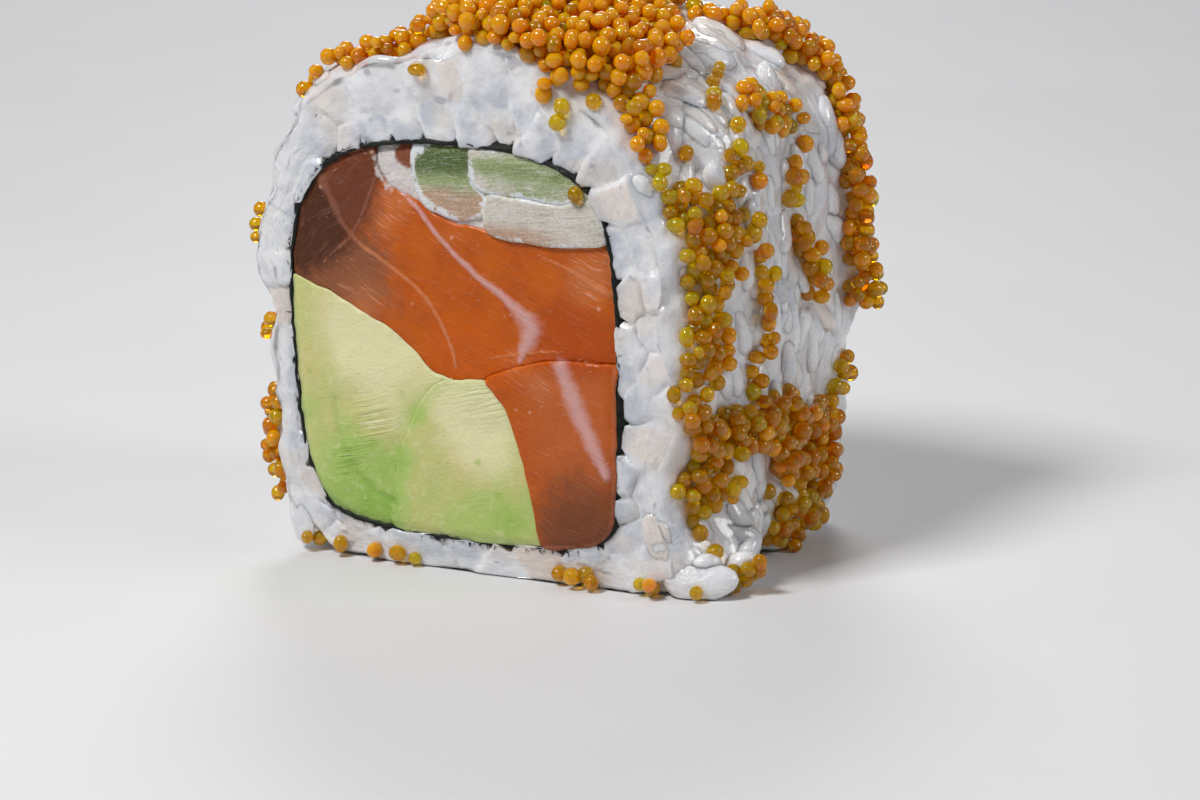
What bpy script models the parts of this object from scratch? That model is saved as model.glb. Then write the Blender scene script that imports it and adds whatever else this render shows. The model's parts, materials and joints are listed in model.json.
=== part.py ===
"""One piece of an uramaki roll: rice outside, a nori wrapper, and eight strips of filling.

Metres, +Z up. The roll's axis runs along Y and its open cut face looks towards -Y. The origin is
the middle of the underside. Section points are (x, z) pairs in millimetres.
"""
import math

import bmesh
import bpy
from mathutils import Vector, noise

MM = 0.001

# Driving sizes, in millimetres
ROLL_LENGTH = 32.0
NORI_THICKNESS = 0.4
GAP = 0.3                # between neighbouring pieces
FILLING_EDGE = 0.25      # rounding of a filling's cut edges
RICE_EDGE = 1.6          # how far along the roll its cut edges are rounded
RICE_EDGE_DROP = 0.8     # how far the rounding takes the surface in
SWELL_RUN = 13.0         # depth over which the cut face swells into the full body
GRAIN_LUMP = (0.55, 3.4)   # height and size of the rice's lumps
BODY_LUMP = (0.5, 9.0)     # and of the waves under them
CURVE_STEP = 1.3         # spacing of points along the lines between fillings
WALL_STEPS = 4           # points between two section points of the nori
RICE_STEPS = 7           # points between two section points of the rice
RICE_RINGS = 20

# A few grains hang out at the foot of the shown side: middle (x, y, z), reach and spread
STRAY_MIDDLE = Vector((21.0, -10.5, 2.2))
STRAY_REACH = 3.2
STRAY_SPREAD = 3.4

# The rice, anticlockwise from the middle of the underside: cut face, then the full body behind it
RICE_SECTIONS = [
    ((-1.0, -0.8), (-1.0, -2.0)),
    ((9.0, -0.6), (9.0, -2.0)),
    ((19.6, 0.9), (19.4, 0.2)),
    ((17.6, 8.5), (21.8, 8.5)),
    ((18.6, 19.0), (22.2, 19.0)),
    ((18.2, 29.5), (22.0, 31.0)),
    ((14.2, 38.0), (19.8, 41.6)),
    ((7.0, 45.4), (10.5, 47.5)),
    ((-2.0, 46.8), (-2.0, 48.2)),
    ((-12.0, 43.8), (-13.0, 45.4)),
    ((-19.2, 39.0), (-20.2, 39.5)),
    ((-22.4, 30.0), (-23.0, 30.0)),
    ((-20.6, 18.0), (-22.0, 18.0)),
    ((-20.6, 6.5), (-21.2, 6.5)),
    ((-17.0, 1.2), (-18.2, 0.8)),
    ((-9.0, -0.8), (-9.0, -2.0)),
]

# Inner side of the nori, anticlockwise from the middle of its right side
NORI_WALL = [
    (13.1, 16.0), (13.0, 25.0), (12.0, 31.5), (9.6, 35.5), (4.5, 37.6), (-1.5, 38.0),
    (-8.0, 37.7), (-13.5, 36.2), (-17.0, 32.6), (-18.4, 27.0), (-18.1, 18.0), (-17.2, 10.0),
    (-15.2, 5.5), (-11.0, 3.7), (-2.0, 3.2), (8.0, 3.5), (12.2, 4.8), (13.1, 8.5),
]

# Lines along which the fillings meet, from left to right or from top to bottom
SALMON_UNDERSIDE = [(-18.4, 25.4), (-12.0, 22.8), (-7.8, 20.6), (-4.6, 17.9), (-2.0, 17.2), (0.4, 17.6)]
SALMON_INNER_SIDE = [(0.4, 17.6), (2.7, 15.4), (4.2, 11.6), (5.2, 7.4), (6.2, 3.3)]
SALMON_SEAM = [(0.4, 17.6), (4.0, 19.2), (8.2, 20.0), (13.2, 20.2)]
AVOCADO_SEAM = [(-3.4, 17.3), (-5.8, 15.0), (-8.0, 9.7), (-8.3, 6.2), (-9.0, 3.5)]
CREAM_UNDERSIDE = [(-10.2, 37.4), (-9.7, 34.8), (-6.8, 32.8), (-4.4, 31.4), (-1.8, 30.7), (1.0, 30.6)]
CUCUMBER_UNDERSIDE = [(1.0, 30.6), (4.6, 30.1), (8.2, 30.1), (12.3, 30.5)]
CREAM_TOPSIDE = [(-6.6, 37.8), (-6.3, 34.9), (-5.0, 33.2), (-3.2, 32.2), (-1.2, 31.8), (0.6, 31.9)]
CUCUMBER_SEAM = [(-0.9, 38.0), (-0.5, 34.7), (0.7, 34.2)]
CUCUMBER_SHELF = [(0.7, 34.2), (5.1, 34.0), (8.3, 33.7), (11.0, 34.4)]

# How far each filling stands out of the roll's middle length at both cut faces
STAND_OUT = {
    "salmon_upper": -0.1,
    "salmon_lower": 0.4,
    "avocado_left": 0.1,
    "avocado_right": 0.25,
    "cucumber_left": -0.3,
    "cucumber_top": 0.1,
    "cucumber_lower": 0.3,
    "cream_cheese": -0.2,
}

# Base colour and roughness
LOOKS = {
    "rice": ((0.80, 0.79, 0.80), 0.45),
    "nori": ((0.010, 0.014, 0.010), 0.60),
    "salmon_upper": ((0.62, 0.15, 0.03), 0.30),
    "salmon_lower": ((0.58, 0.17, 0.06), 0.30),
    "avocado_left": ((0.50, 0.62, 0.22), 0.40),
    "avocado_right": ((0.58, 0.68, 0.30), 0.40),
    "cucumber_left": ((0.30, 0.36, 0.14), 0.25),
    "cucumber_top": ((0.44, 0.58, 0.30), 0.25),
    "cucumber_lower": ((0.66, 0.64, 0.50), 0.25),
    "cream_cheese": ((0.90, 0.89, 0.86), 0.50),
}


def clear_objects():
    for old in list(bpy.data.objects):
        bpy.data.objects.remove(old, do_unlink=True)


def new_collection(name):
    collection = bpy.data.collections.new(name)
    bpy.context.scene.collection.children.link(collection)
    return collection


def material(name):
    colour, roughness = LOOKS[name]
    made = bpy.data.materials.new(name)
    made.use_nodes = True
    shader = made.node_tree.nodes["Principled BSDF"]
    shader.inputs["Base Color"].default_value = (*colour, 1.0)
    shader.inputs["Roughness"].default_value = roughness
    shader.inputs["Metallic"].default_value = 0.0
    return made


def between(before, start, end, after, t):
    """The point at t from start to end on a smooth curve through four points."""
    return 0.5 * ((2 * start) + (end - before) * t
                  + (2 * before - 5 * start + 4 * end - after) * t ** 2
                  + (3 * start - before - 3 * end + after) * t ** 3)


def closed_curve(points, steps):
    points = [Vector(point) for point in points]
    count = len(points)
    curve = []
    for index in range(count):
        four = [points[(index + shift) % count] for shift in (-1, 0, 1, 2)]
        curve += [between(*four, step / steps) for step in range(steps)]
    return curve


def open_curve(points):
    """A smooth line through the points, with both of its ends, at about CURVE_STEP."""
    points = [Vector(point) for point in points]
    padded = [points[0], *points, points[-1]]
    curve = []
    for four in zip(padded, padded[1:], padded[2:], padded[3:]):
        steps = max(1, round((four[2] - four[1]).length / CURVE_STEP))
        curve += [between(*four, step / steps) for step in range(steps)]
    return curve + [points[-1]]


def offset(outline, distance):
    """The closed anticlockwise outline, moved outwards by the distance."""
    moved = []
    for index, point in enumerate(outline):
        before = (point - outline[index - 1]).normalized()
        after = (outline[(index + 1) % len(outline)] - point).normalized()
        along = (before + after).normalized()
        reach = max(0.5, along.dot(after))
        moved.append(point + Vector((along.y, -along.x)) * distance / reach)
    return moved


def wall_between(start, end):
    """The nori's inner side from start to end, anticlockwise, without the points nearest to them."""
    wall = closed_curve(NORI_WALL, WALL_STEPS)
    first = min(range(len(wall)), key=lambda index: (wall[index] - Vector(start)).length)
    last = min(range(len(wall)), key=lambda index: (wall[index] - Vector(end)).length)
    count = (last - first) % len(wall)
    return [wall[(first + step) % len(wall)] for step in range(1, count)]


def joined(*stretches):
    """One closed outline from stretches laid end to end, without doubled points."""
    outline = []
    for point in (point for stretch in stretches for point in stretch):
        if not outline or (point - outline[-1]).length > GAP:
            outline.append(point)
    if (outline[0] - outline[-1]).length <= GAP:
        outline.pop()
    return outline


def backwards(points):
    return list(reversed(open_curve(points)))


def filling_outlines():
    """Each filling's section, anticlockwise, touching its neighbours along the shared lines."""
    return {
        "salmon_upper": joined(
            wall_between(SALMON_SEAM[-1], CUCUMBER_UNDERSIDE[-1]),
            backwards(CUCUMBER_UNDERSIDE), backwards(CREAM_UNDERSIDE),
            wall_between(CREAM_UNDERSIDE[0], SALMON_UNDERSIDE[0]),
            open_curve(SALMON_UNDERSIDE), open_curve(SALMON_SEAM)),
        "salmon_lower": joined(
            wall_between(SALMON_INNER_SIDE[-1], SALMON_SEAM[-1]),
            backwards(SALMON_SEAM), open_curve(SALMON_INNER_SIDE)),
        "avocado_left": joined(
            wall_between(SALMON_UNDERSIDE[0], AVOCADO_SEAM[-1]),
            backwards(AVOCADO_SEAM), backwards(SALMON_UNDERSIDE[:5])),
        "avocado_right": joined(
            wall_between(AVOCADO_SEAM[-1], SALMON_INNER_SIDE[-1]),
            backwards(SALMON_INNER_SIDE), backwards(SALMON_UNDERSIDE[4:]),
            open_curve(AVOCADO_SEAM)),
        "cream_cheese": joined(
            open_curve(CREAM_UNDERSIDE), backwards(CREAM_TOPSIDE),
            wall_between(CREAM_TOPSIDE[0], CREAM_UNDERSIDE[0])),
        "cucumber_left": joined(
            open_curve(CREAM_TOPSIDE), backwards(CUCUMBER_SEAM),
            wall_between(CUCUMBER_SEAM[0], CREAM_TOPSIDE[0])),
        "cucumber_top": joined(
            wall_between(CUCUMBER_SHELF[-1], CUCUMBER_SEAM[0]),
            open_curve(CUCUMBER_SEAM), open_curve(CUCUMBER_SHELF)),
        "cucumber_lower": joined(
            open_curve(CUCUMBER_UNDERSIDE),
            wall_between(CUCUMBER_UNDERSIDE[-1], CUCUMBER_SHELF[-1]),
            backwards(CUCUMBER_SHELF), [Vector(CREAM_TOPSIDE[-1])]),
    }


def flat_curve(name, outline, length, fill_mode):
    """A closed outline drawn in the XZ plane and drawn out along Y."""
    data = bpy.data.curves.new(name, "CURVE")
    data.dimensions = "2D"
    data.fill_mode = fill_mode
    data.extrude = length * MM / 2
    spline = data.splines.new("POLY")
    spline.points.add(len(outline) - 1)
    for point, place in zip(spline.points, outline):
        point.co = (place.x * MM, place.y * MM, 0.0, 1.0)
    spline.use_cyclic_u = True
    curve = bpy.data.objects.new(name, data)
    curve.rotation_euler = (math.radians(90), 0.0, 0.0)
    return curve


def as_mesh(curve, collection):
    """Replace a curve object by a mesh object whose caps are welded on."""
    name = curve.name
    collection.objects.link(curve)
    bpy.context.view_layer.update()
    depsgraph = bpy.context.evaluated_depsgraph_get()
    mesh = bpy.data.meshes.new_from_object(curve.evaluated_get(depsgraph))
    work = bmesh.new()
    work.from_mesh(mesh)
    bmesh.ops.remove_doubles(work, verts=work.verts, dist=0.001 * MM)
    bmesh.ops.dissolve_limit(work, angle_limit=math.radians(0.5), verts=work.verts, edges=work.edges)
    bmesh.ops.recalc_face_normals(work, faces=work.faces)
    work.to_mesh(mesh)
    work.free()
    made = bpy.data.objects.new(name, mesh)
    made.matrix_world = curve.matrix_world
    bpy.data.objects.remove(curve, do_unlink=True)
    made.name = name
    collection.objects.link(made)
    return made


def make_filling(name, outline, collection):
    length = ROLL_LENGTH + 2 * STAND_OUT[name]
    strip = as_mesh(flat_curve(name, offset(outline, -GAP / 2), length, "BOTH"), collection)
    strip.data.materials.clear()
    strip.data.materials.append(material(name))
    bevel = strip.modifiers.new("cut edges", "BEVEL")
    bevel.width = FILLING_EDGE * MM
    bevel.segments = 1
    bevel.limit_method = "ANGLE"
    bevel.angle_limit = math.radians(60)
    return strip


def make_nori(collection):
    """A wrapper with no thickness, thickened outwards, so it stays open at both ends."""
    wall = offset(closed_curve(NORI_WALL, WALL_STEPS), GAP / 2)
    sheet = as_mesh(flat_curve("nori", wall, ROLL_LENGTH - GAP, "NONE"), collection)
    sheet.data.materials.clear()
    sheet.data.materials.append(material("nori"))
    shell = sheet.modifiers.new("thickness", "SOLIDIFY")
    shell.thickness = NORI_THICKNESS * MM
    shell.offset = 1.0
    shell.use_even_offset = True
    return sheet


def rice_section(y):
    """The rice's outline at y: the cut face blended into the body, with rounded cut edges."""
    from_front = y + ROLL_LENGTH / 2
    swell = math.sin(min(1.0, from_front / SWELL_RUN) * math.pi / 2)
    points = [Vector(face).lerp(Vector(body), swell) for face, body in RICE_SECTIONS]
    from_end = ROLL_LENGTH / 2 - abs(y)
    rounding = max(0.0, 1.0 - from_end / RICE_EDGE)
    return offset(closed_curve(points, RICE_STEPS), -RICE_EDGE_DROP * rounding ** 2)


def uneven(x, y, z, outwards):
    """A point of the rice's surface, moved in or out by the lumps, and never below the base."""
    place = Vector((x, y, z))
    lump = sum(noise.noise(place / size) * height * 2 for height, size in (GRAIN_LUMP, BODY_LUMP))
    stray = STRAY_REACH * math.exp(-((place - STRAY_MIDDLE).length / STRAY_SPREAD) ** 2)
    place += Vector((outwards.x, 0.0, outwards.y)) * lump
    place.x += stray
    place.z = max(0.0, place.z)
    return place


def make_rice(collection, cutters):
    """A body lofted through the uneven sections, with the nori's place cut through it."""
    work = bmesh.new()
    rings = []
    for index in range(RICE_RINGS):
        angle = math.pi * index / (RICE_RINGS - 1)
        spread = 0.5 * (index / (RICE_RINGS - 1) * 2 - 1) - 0.5 * math.cos(angle)
        y = spread * ROLL_LENGTH / 2
        section = rice_section(y)
        outer = offset(section, 1.0)
        ring = [uneven(point.x, y, point.y, far - point) for point, far in zip(section, outer)]
        rings.append([work.verts.new(place * MM) for place in ring])
    for ring, following in zip(rings, rings[1:]):
        for index in range(len(ring)):
            work.faces.new((ring[index - 1], ring[index], following[index], following[index - 1]))
    work.faces.new(rings[0])
    work.faces.new(reversed(rings[-1]))
    bmesh.ops.recalc_face_normals(work, faces=work.faces)
    mesh = bpy.data.meshes.new("rice")
    work.to_mesh(mesh)
    work.free()
    body = bpy.data.objects.new("rice", mesh)
    body.data.materials.append(material("rice"))
    collection.objects.link(body)

    hole = offset(closed_curve(NORI_WALL, WALL_STEPS), GAP / 2 + NORI_THICKNESS + GAP)
    cutter = as_mesh(flat_curve("nori_place", hole, ROLL_LENGTH * 1.5, "BOTH"), cutters)
    cutter.hide_render = True
    cutter.display_type = "WIRE"
    cut = body.modifiers.new("nori place", "BOOLEAN")
    cut.operation = "DIFFERENCE"
    cut.solver = "EXACT"
    cut.object = cutter
    return body


def main():
    clear_objects()
    roll = new_collection("uramaki_roll")
    cutters = new_collection("cutters")
    make_rice(roll, cutters)
    make_nori(roll)
    for name, outline in filling_outlines().items():
        make_filling(name, outline, roll)


main()
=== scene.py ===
"""The looks of an uramaki roll: rice grains, a nori wrapper, cut fillings and roe, built around the
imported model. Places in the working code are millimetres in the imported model's frame: +X to the right
of the shown cut face, +Y along the roll away from it, +Z up. Section points are (x, z) pairs.
"""
import json
import math

import bmesh
import bpy
import numpy as np
from bpy.props import FloatProperty, FloatVectorProperty, IntProperty, PointerProperty
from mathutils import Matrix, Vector, geometry, kdtree
from mathutils.bvhtree import BVHTree

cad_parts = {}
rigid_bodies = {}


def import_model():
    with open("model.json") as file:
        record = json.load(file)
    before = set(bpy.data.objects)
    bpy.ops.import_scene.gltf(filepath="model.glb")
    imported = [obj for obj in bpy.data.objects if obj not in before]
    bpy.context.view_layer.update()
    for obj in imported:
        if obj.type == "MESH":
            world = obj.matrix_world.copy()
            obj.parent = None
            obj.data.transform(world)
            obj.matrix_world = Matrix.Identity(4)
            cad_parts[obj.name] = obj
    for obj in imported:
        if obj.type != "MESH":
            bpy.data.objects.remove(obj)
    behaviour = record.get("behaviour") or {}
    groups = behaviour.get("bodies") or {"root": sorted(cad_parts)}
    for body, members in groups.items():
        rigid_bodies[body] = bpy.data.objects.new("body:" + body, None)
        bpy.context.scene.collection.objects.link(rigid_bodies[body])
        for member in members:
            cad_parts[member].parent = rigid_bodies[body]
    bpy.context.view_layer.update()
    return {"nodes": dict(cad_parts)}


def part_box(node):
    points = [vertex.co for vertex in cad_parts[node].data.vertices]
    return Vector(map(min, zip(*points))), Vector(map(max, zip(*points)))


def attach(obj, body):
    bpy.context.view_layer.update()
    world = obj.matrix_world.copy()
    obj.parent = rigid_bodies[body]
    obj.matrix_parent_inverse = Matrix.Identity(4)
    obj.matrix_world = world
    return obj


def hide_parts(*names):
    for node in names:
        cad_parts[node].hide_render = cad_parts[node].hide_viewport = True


bl_info = {
    "name": "Uramaki Roll",
    "version": (1, 0, 0),
    "blender": (4, 5, 0),
    "location": "3D View > Sidebar > Uramaki",
    "description": "Builds the rice, nori, fillings and roe of a cut uramaki roll",
    "category": "Add Mesh",
}

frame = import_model()

MM = 0.001
ROLL_MIDDLE = 22.0          # height of the axis that grains and eggs are laid out around
HALF_LENGTH = 16.0          # from the middle of the roll to the rice's cut faces

# Meshing of the cut fillings
CAP_STEP = 0.23             # spacing of points on a cut face
TOUCH = 0.19                # how far a filling grows to meet its neighbours
WRAP = 0.24                 # how much further it grows where it meets the nori
EDGE_DROP = 0.20            # how far a filling's cut face drops towards the nori
WALL_STATIONS = (-15.0, -8.0, 0.0, 8.0, 15.0)

# Lines of fat in the salmon: (x, z, half-width), thick to thin
OLD_VEIN = [(-15.9, 34.6, 0.30), (-14.6, 32.4, 0.30), (-13.4, 30.2, 0.22), (-11.4, 28.4, 0.18), (-8.6, 26.8, 0.15),
            (-6.0, 25.0, 0.15), (-3.9, 22.6, 0.14), (-2.7, 20.3, 0.13), (-2.3, 18.3, 0.12)]
FAT_LINES = [
    OLD_VEIN,
    [(-7.6, 33.6, 0.12), (-5.8, 32.1, 0.18), (-3.8, 29.8, 0.20), (-1.7, 28.1, 0.22), (0.5, 26.4, 0.26),
     (2.4, 25.2, 0.32), (4.0, 23.9, 0.55), (5.0, 22.8, 0.78), (4.7, 21.5, 0.62), (4.2, 20.4, 0.34),
     (3.9, 19.6, 0.16)],
    [(8.1, 19.5, 0.62), (9.1, 17.4, 0.66), (10.2, 15.0, 0.62), (11.4, 12.6, 0.58), (12.5, 10.4, 0.36)],
    [(5.6, 29.3, 0.06), (8.0, 28.4, 0.12), (10.2, 27.4, 0.22), (12.6, 26.4, 0.24)],
    [(-9.3, 36.6, 0.08), (-10.9, 33.0, 0.10), (-11.8, 30.8, 0.10), (-13.0, 29.0, 0.12), (-15.4, 26.6, 0.10)],
    [(0.6, 19.4, 0.06), (3.6, 20.2, 0.10), (8.0, 20.9, 0.06)],
    [(3.2, 30.0, 0.05), (8.0, 29.9, 0.08), (12.6, 30.6, 0.14)],
    [(12.6, 29.6, 0.10), (13.0, 28.2, 0.22), (13.0, 26.4, 0.10)],
]
DARK_EDGE = [(-8.4, 38.0), (-9.0, 36.4), (-10.2, 33.6), (-11.0, 31.0), (-12.4, 29.2), (-14.8, 27.0), (-19.0, 25.0)]

# Where the salmon and the left cucumber push over the thin end of the cream: (x, z, reach, millimetres)
SALMON_GROWTH = [(-6.6, 32.2, 1.6, 0.42), (-3.6, 30.8, 1.8, 0.45), (-0.8, 30.2, 1.8, 0.42)]
CUCUMBER_GROWTH = [(-6.2, 34.0, 1.5, 0.30), (-5.4, 32.4, 1.6, 0.38), (-2.6, 31.4, 2.2, 0.38), (-6.4, 36.6, 1.2, 0.15),
                   (-5.0, 32.5, 1.3, 0.55)]

# Soft spots of colour: (x, z, reach, strength)
SALMON_PALE = [(-11.5, 23.6, 2.6, 0.8), (10.6, 27.4, 2.4, 1.1), (12.9, 29.0, 1.0, 0.9), (-9.6, 31.4, 2.2, 0.8),
               (-7.2, 33.4, 1.6, 0.7), (3.6, 19.4, 1.6, 0.6), (6.0, 17.6, 1.5, 0.7), (-2.6, 30.6, 2.2, 0.35)]
SALMON_BROWN = [(-16.6, 25.8, 1.6, 1.2), (-14.0, 24.4, 1.6, 0.9), (-13.6, 26.6, 3.2, 0.9), (-11.2, 25.0, 2.6, 0.55), (-10.0, 28.4, 2.4, 0.45), (-8.4, 23.4, 2.0, 0.3),
                (8.0, 8.4, 3.2, 0.35), (12.2, 23.6, 1.8, 0.2)]
# The next spots darken the lower strip towards the bottom: painted shade
SALMON_LOW_SHADE = [(8.0, 4.0, 4.0, 0.8), (11.6, 4.6, 4.4, 0.9), (12.9, 9.0, 3.0, 0.4), (8.6, 9.0, 3.0, 0.25)]
SALMON_GOLD = [(-2.6, 19.4, 3.0, 1.0), (1.2, 19.2, 2.6, 0.8), (-0.6, 23.4, 3.4, 0.45), (4.4, 18.6, 1.8, 0.4)]
SALMON_DEEP = [(7.6, 22.4, 3.4, 1.0), (11.0, 21.8, 3.0, 1.0), (3.4, 26.8, 2.2, 0.35)]
SALMON_ROSY = [(9.6, 12.4, 5.4, 1.0), (7.2, 17.6, 2.6, 0.6), (10.8, 18.6, 2.6, 0.5)]
CREAM_SMEAR = [(-10.3, 36.6, 0.8, 0.8), (-9.8, 35.2, 0.9, 0.9), (-8.9, 33.8, 0.9, 0.9), (-7.7, 32.6, 0.7, 0.8),
               (-6.2, 31.6, 0.45, 0.7), (-4.6, 30.9, 0.35, 0.7), (-3.0, 30.5, 0.3, 0.7), (-1.4, 30.2, 0.3, 0.6)]
CUCUMBER_DOLLOP = [(-6.1, 37.7, 0.8, 1.3), (-6.4, 33.2, 0.9, 0.9), (-5.2, 32.2, 0.9, 0.9), (-3.9, 31.6, 0.8, 0.8)]
AVOCADO_CREAM = [(-13.2, 21.6, 3.8, 0.9), (-9.6, 17.8, 4.6, 0.9), (-1.2, 15.6, 3.6, 1.0), (0.6, 11.8, 3.8, 1.0),
                 (-4.6, 20.6, 3.0, 0.6), (-8.0, 12.6, 1.8, 0.4)]
AVOCADO_GREEN = [(-14.6, 6.0, 3.8, 0.85), (-10.6, 4.4, 2.6, 0.8), (-12.4, 10.2, 2.6, 0.6), (-9.4, 9.0, 2.0, 0.5),
                 (-17.2, 13.0, 1.6, 0.5), (-1.8, 4.6, 3.8, 0.55), (3.6, 5.4, 2.8, 0.7), (5.6, 8.0, 1.4, 0.3),
                 (-5.8, 13.6, 1.1, 0.5), (-7.4, 9.6, 1.4, 0.4), (-8.4, 5.6, 1.4, 0.4), (-4.6, 19.0, 1.2, 0.3)]
AVOCADO_DOTS = [(-16.9, 16.7, 0.30, 0.9), (0.0, 10.2, 0.34, 1.0), (2.1, 7.4, 0.50, 0.9), (-7.1, 11.4, 0.30, 0.7),
                (-12.1, 15.2, 0.25, 0.6), (2.9, 6.4, 0.30, 0.8), (-10.9, 12.9, 0.22, 0.5), (-2.6, 7.3, 0.22, 0.4),
                (-14.2, 17.9, 0.26, 0.5), (-1.4, 12.6, 0.22, 0.4), (-10.6, 10.7, 0.85, 0.8), (-7.8, 10.4, 0.50, 0.8),
                (-3.4, 12.8, 0.30, 0.5), (-7.5, 15.7, 0.40, 0.6), (-12.0, 16.9, 0.35, 0.5), (3.0, 5.6, 0.55, 0.7),
                (-9.8, 8.6, 0.40, 0.6), (-2.4, 13.9, 0.26, 0.4)]
AVOCADO_STROKES = [(-10.4, 12.6, 3.0, 1.0), (-13.4, 9.0, 2.6, 0.7), (0.8, 16.6, 3.4, 1.1), (-4.4, 17.4, 2.4, 0.6),
                   (-12.8, 17.4, 2.0, 0.4), (0.6, 6.8, 2.2, 0.4)]
AVOCADO_FOLD = [(-14.4, 14.2, 0.30), (-13.9, 11.5, 0.36), (-12.6, 8.4, 0.40), (-10.6, 6.4, 0.36), (-8.6, 5.6, 0.30)]
AVOCADO_SEAM = [(0.5, 17.6, 1.0), (-2.8, 16.9, 1.0), (-5.2, 15.6, 1.0), (-6.6, 13.6, 1.0), (-7.6, 10.5, 1.0),
                (-8.4, 7.0, 1.0), (-8.6, 3.6, 1.0)]

# The roe on the rice: a walk of (angle round the roll in degrees, y), how far the patch reaches to its
# sides, how many eggs lie in it, how high they pile, and the share of orange ones
ROE_PATCHES = [
    ([(98, -10.5), (88, -13.4), (76, -13.6), (67, -12.4), (66, -7.0), (74, -3.5), (88, -6.0)], 2.9, 420, 2.4, 0.97),
    ([(84, -9.5), (77, -7.5)], 2.6, 150, 2.8, 0.97),
    ([(67, -14.4), (64, -14.8)], 0.7, 9, 0.5, 0.3),
    ([(80, 2.0), (84, 9.0)], 4.0, 130, 1.4, 0.9),
    ([(88, -15.4), (94, -15.0)], 0.6, 9, 0.3, 0.3),
    ([(104, -11.0), (112, -13.2)], 1.7, 55, 1.2, 0.95),
    ([(116, -13.6), (121, -14.0)], 1.1, 20, 0.9, 0.95),
    ([(128, -14.5), (131, -14.2)], 0.5, 4, 0.0, 0.8),
    ([(57, -13.8), (52, -13.6), (49, -14.0)], 1.1, 30, 1.2, 0.9),
    ([(45, -14.6), (41, -14.3)], 0.6, 5, 0.0, 0.0),
    ([(54, -2.4), (50, -5.0), (47, -7.6)], 0.3, 9, 0.0, 0.0),
    ([(44, -10.9), (42, -11.3)], 0.2, 3, 0.0, 1.0),
    ([(70, 6.5), (61, 7.8)], 1.1, 20, 0.4, 0.6),
    ([(46, -3.0), (42, 0.5), (38, 5.5)], 1.3, 36, 0.5, 0.7),
    ([(38, -7.0), (34, -8.6), (33, -5.7)], 1.1, 12, 0.2, 0.3),
    ([(59, 9.0), (53, 12.4), (47, 14.4)], 1.8, 60, 1.6, 0.9),
    ([(34, -13.0), (30, -13.2), (24, -12.8), (18, -12.4), (10, -12.8), (3, -13.4)], 1.4, 125, 1.1, 0.2),
    ([(30, -10.6), (23, -10.4), (15, -10.2)], 1.2, 44, 1.0, 0.8),
    ([(3, -13.8), (-6, -14.4), (-13, -14.8)], 0.9, 34, 0.9, 0.2),
    ([(4, -10.8), (-8, -11.6)], 0.9, 22, 0.6, 0.6),
    ([(27, -8.2), (21, -7.0)], 0.4, 8, 0.0, 0.0),
    ([(18, -6.2), (10, -5.4), (3, -4.8), (-5, -5.6), (-14, -6.2)], 0.55, 42, 0.9, 0.65),
    ([(29, 2.6), (25, 3.4)], 0.9, 13, 0.5, 0.4),
    ([(19, 3.2), (12, 3.8), (3, 4.9)], 0.8, 34, 1.0, 0.6),
    ([(44, 14.6), (34, 14.2), (20, 14.4), (8, 14.2), (0, 14.6)], 1.5, 130, 1.4, 0.85),
    ([(-18, -14.2), (-22, -12.5), (-20, -7.5), (-22, -3.0)], 1.5, 92, 1.3, 0.7),
    ([(-21, -3.5), (-26, -1.0), (-28, 4.0), (-30, 8.5)], 2.3, 150, 1.9, 0.9),
    ([(-29, -10.5), (-34, -13.2)], 1.5, 44, 1.2, 0.4),
    ([(-37, 3.0), (-42, 0.0), (-45, 4.0), (-39, 9.0)], 1.3, 52, 0.9, 0.4),
    ([(-22, 12.0), (-16, 14.4)], 1.0, 12, 0.2, 0.1),
    ([(-37, -12.6), (-40, -11.4)], 1.2, 26, 0.8, 0.0),
    ([(160, -14.4), (164, -14.6)], 0.6, 5, 0.0, 0.6),
    ([(182, -14.8), (186, -14.6)], 0.5, 6, 0.0, 0.4),
    ([(-158, -14.4), (-148, -14.2), (-142, -14.8)], 1.2, 44, 0.9, 0.6),
    ([(126, -6.0), (134, -8.0)], 2.0, 30, 0.5, 0.5),
    ([(152, -9.5), (158, -6.0), (150, -3.5)], 1.4, 34, 0.4, 0.3),
    ([(140, 8.0), (146, 12.0)], 2.2, 60, 0.9, 0.7),
    ([(170, 9.0), (178, 4.0)], 1.3, 22, 0.4, 0.4),
    ([(112, 10.0), (95, 13.5)], 2.6, 80, 1.2, 0.85),
    ([(-160, -6.0), (-152, -1.0)], 2.4, 90, 1.2, 0.7),
    ([(-148, 7.0), (-144, 12.0)], 2.0, 60, 0.9, 0.6),
    ([(-176, -10.0), (-178, -4.0)], 0.8, 14, 0.2, 0.3),
]
FACE_EGGS = [(-5.6, 44.6), (9.6, 34.9), (8.7, 43.7), (8.3, 42.4), (7.9, 41.0)]

# Whole grains that lie apart: their middle, long way, outward way, half length, half width, tone
STRAY_GRAINS = [
    ((20.5, -14.4, 1.7), (0.97, 0.20, 0.04), (0.2, -0.9, 0.5), 3.4, 1.65, 0.3),
    ((16.9, -15.5, 5.2), (-0.25, 0.10, 0.95), (0.3, -0.9, 0.1), 2.4, 1.35, 0.9),
    ((21.8, -11.6, 2.0), (0.30, 0.85, 0.30), (0.8, -0.5, 0.2), 2.6, 1.10, 0.3),
    ((15.4, -15.5, 2.0), (0.85, 0.05, 0.30), (0.0, -1.0, 0.2), 2.8, 1.20, 0.0),
    ((-18.6, -14.9, 3.4), (-0.45, 0.10, 0.85), (-0.4, -0.9, 0.1), 3.2, 1.40, 0.3),
]


# ---------------------------------------------------------------- settings

def colour(name, text, red, green, blue):
    return FloatVectorProperty(name=name, description=text, subtype="COLOR", size=4, min=0.0, max=1.0,
                               default=(red, green, blue, 1.0))


def length(name, text, millimetres):
    return FloatProperty(name=name, description=text, unit="LENGTH", min=0.0, default=millimetres * MM)


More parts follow.
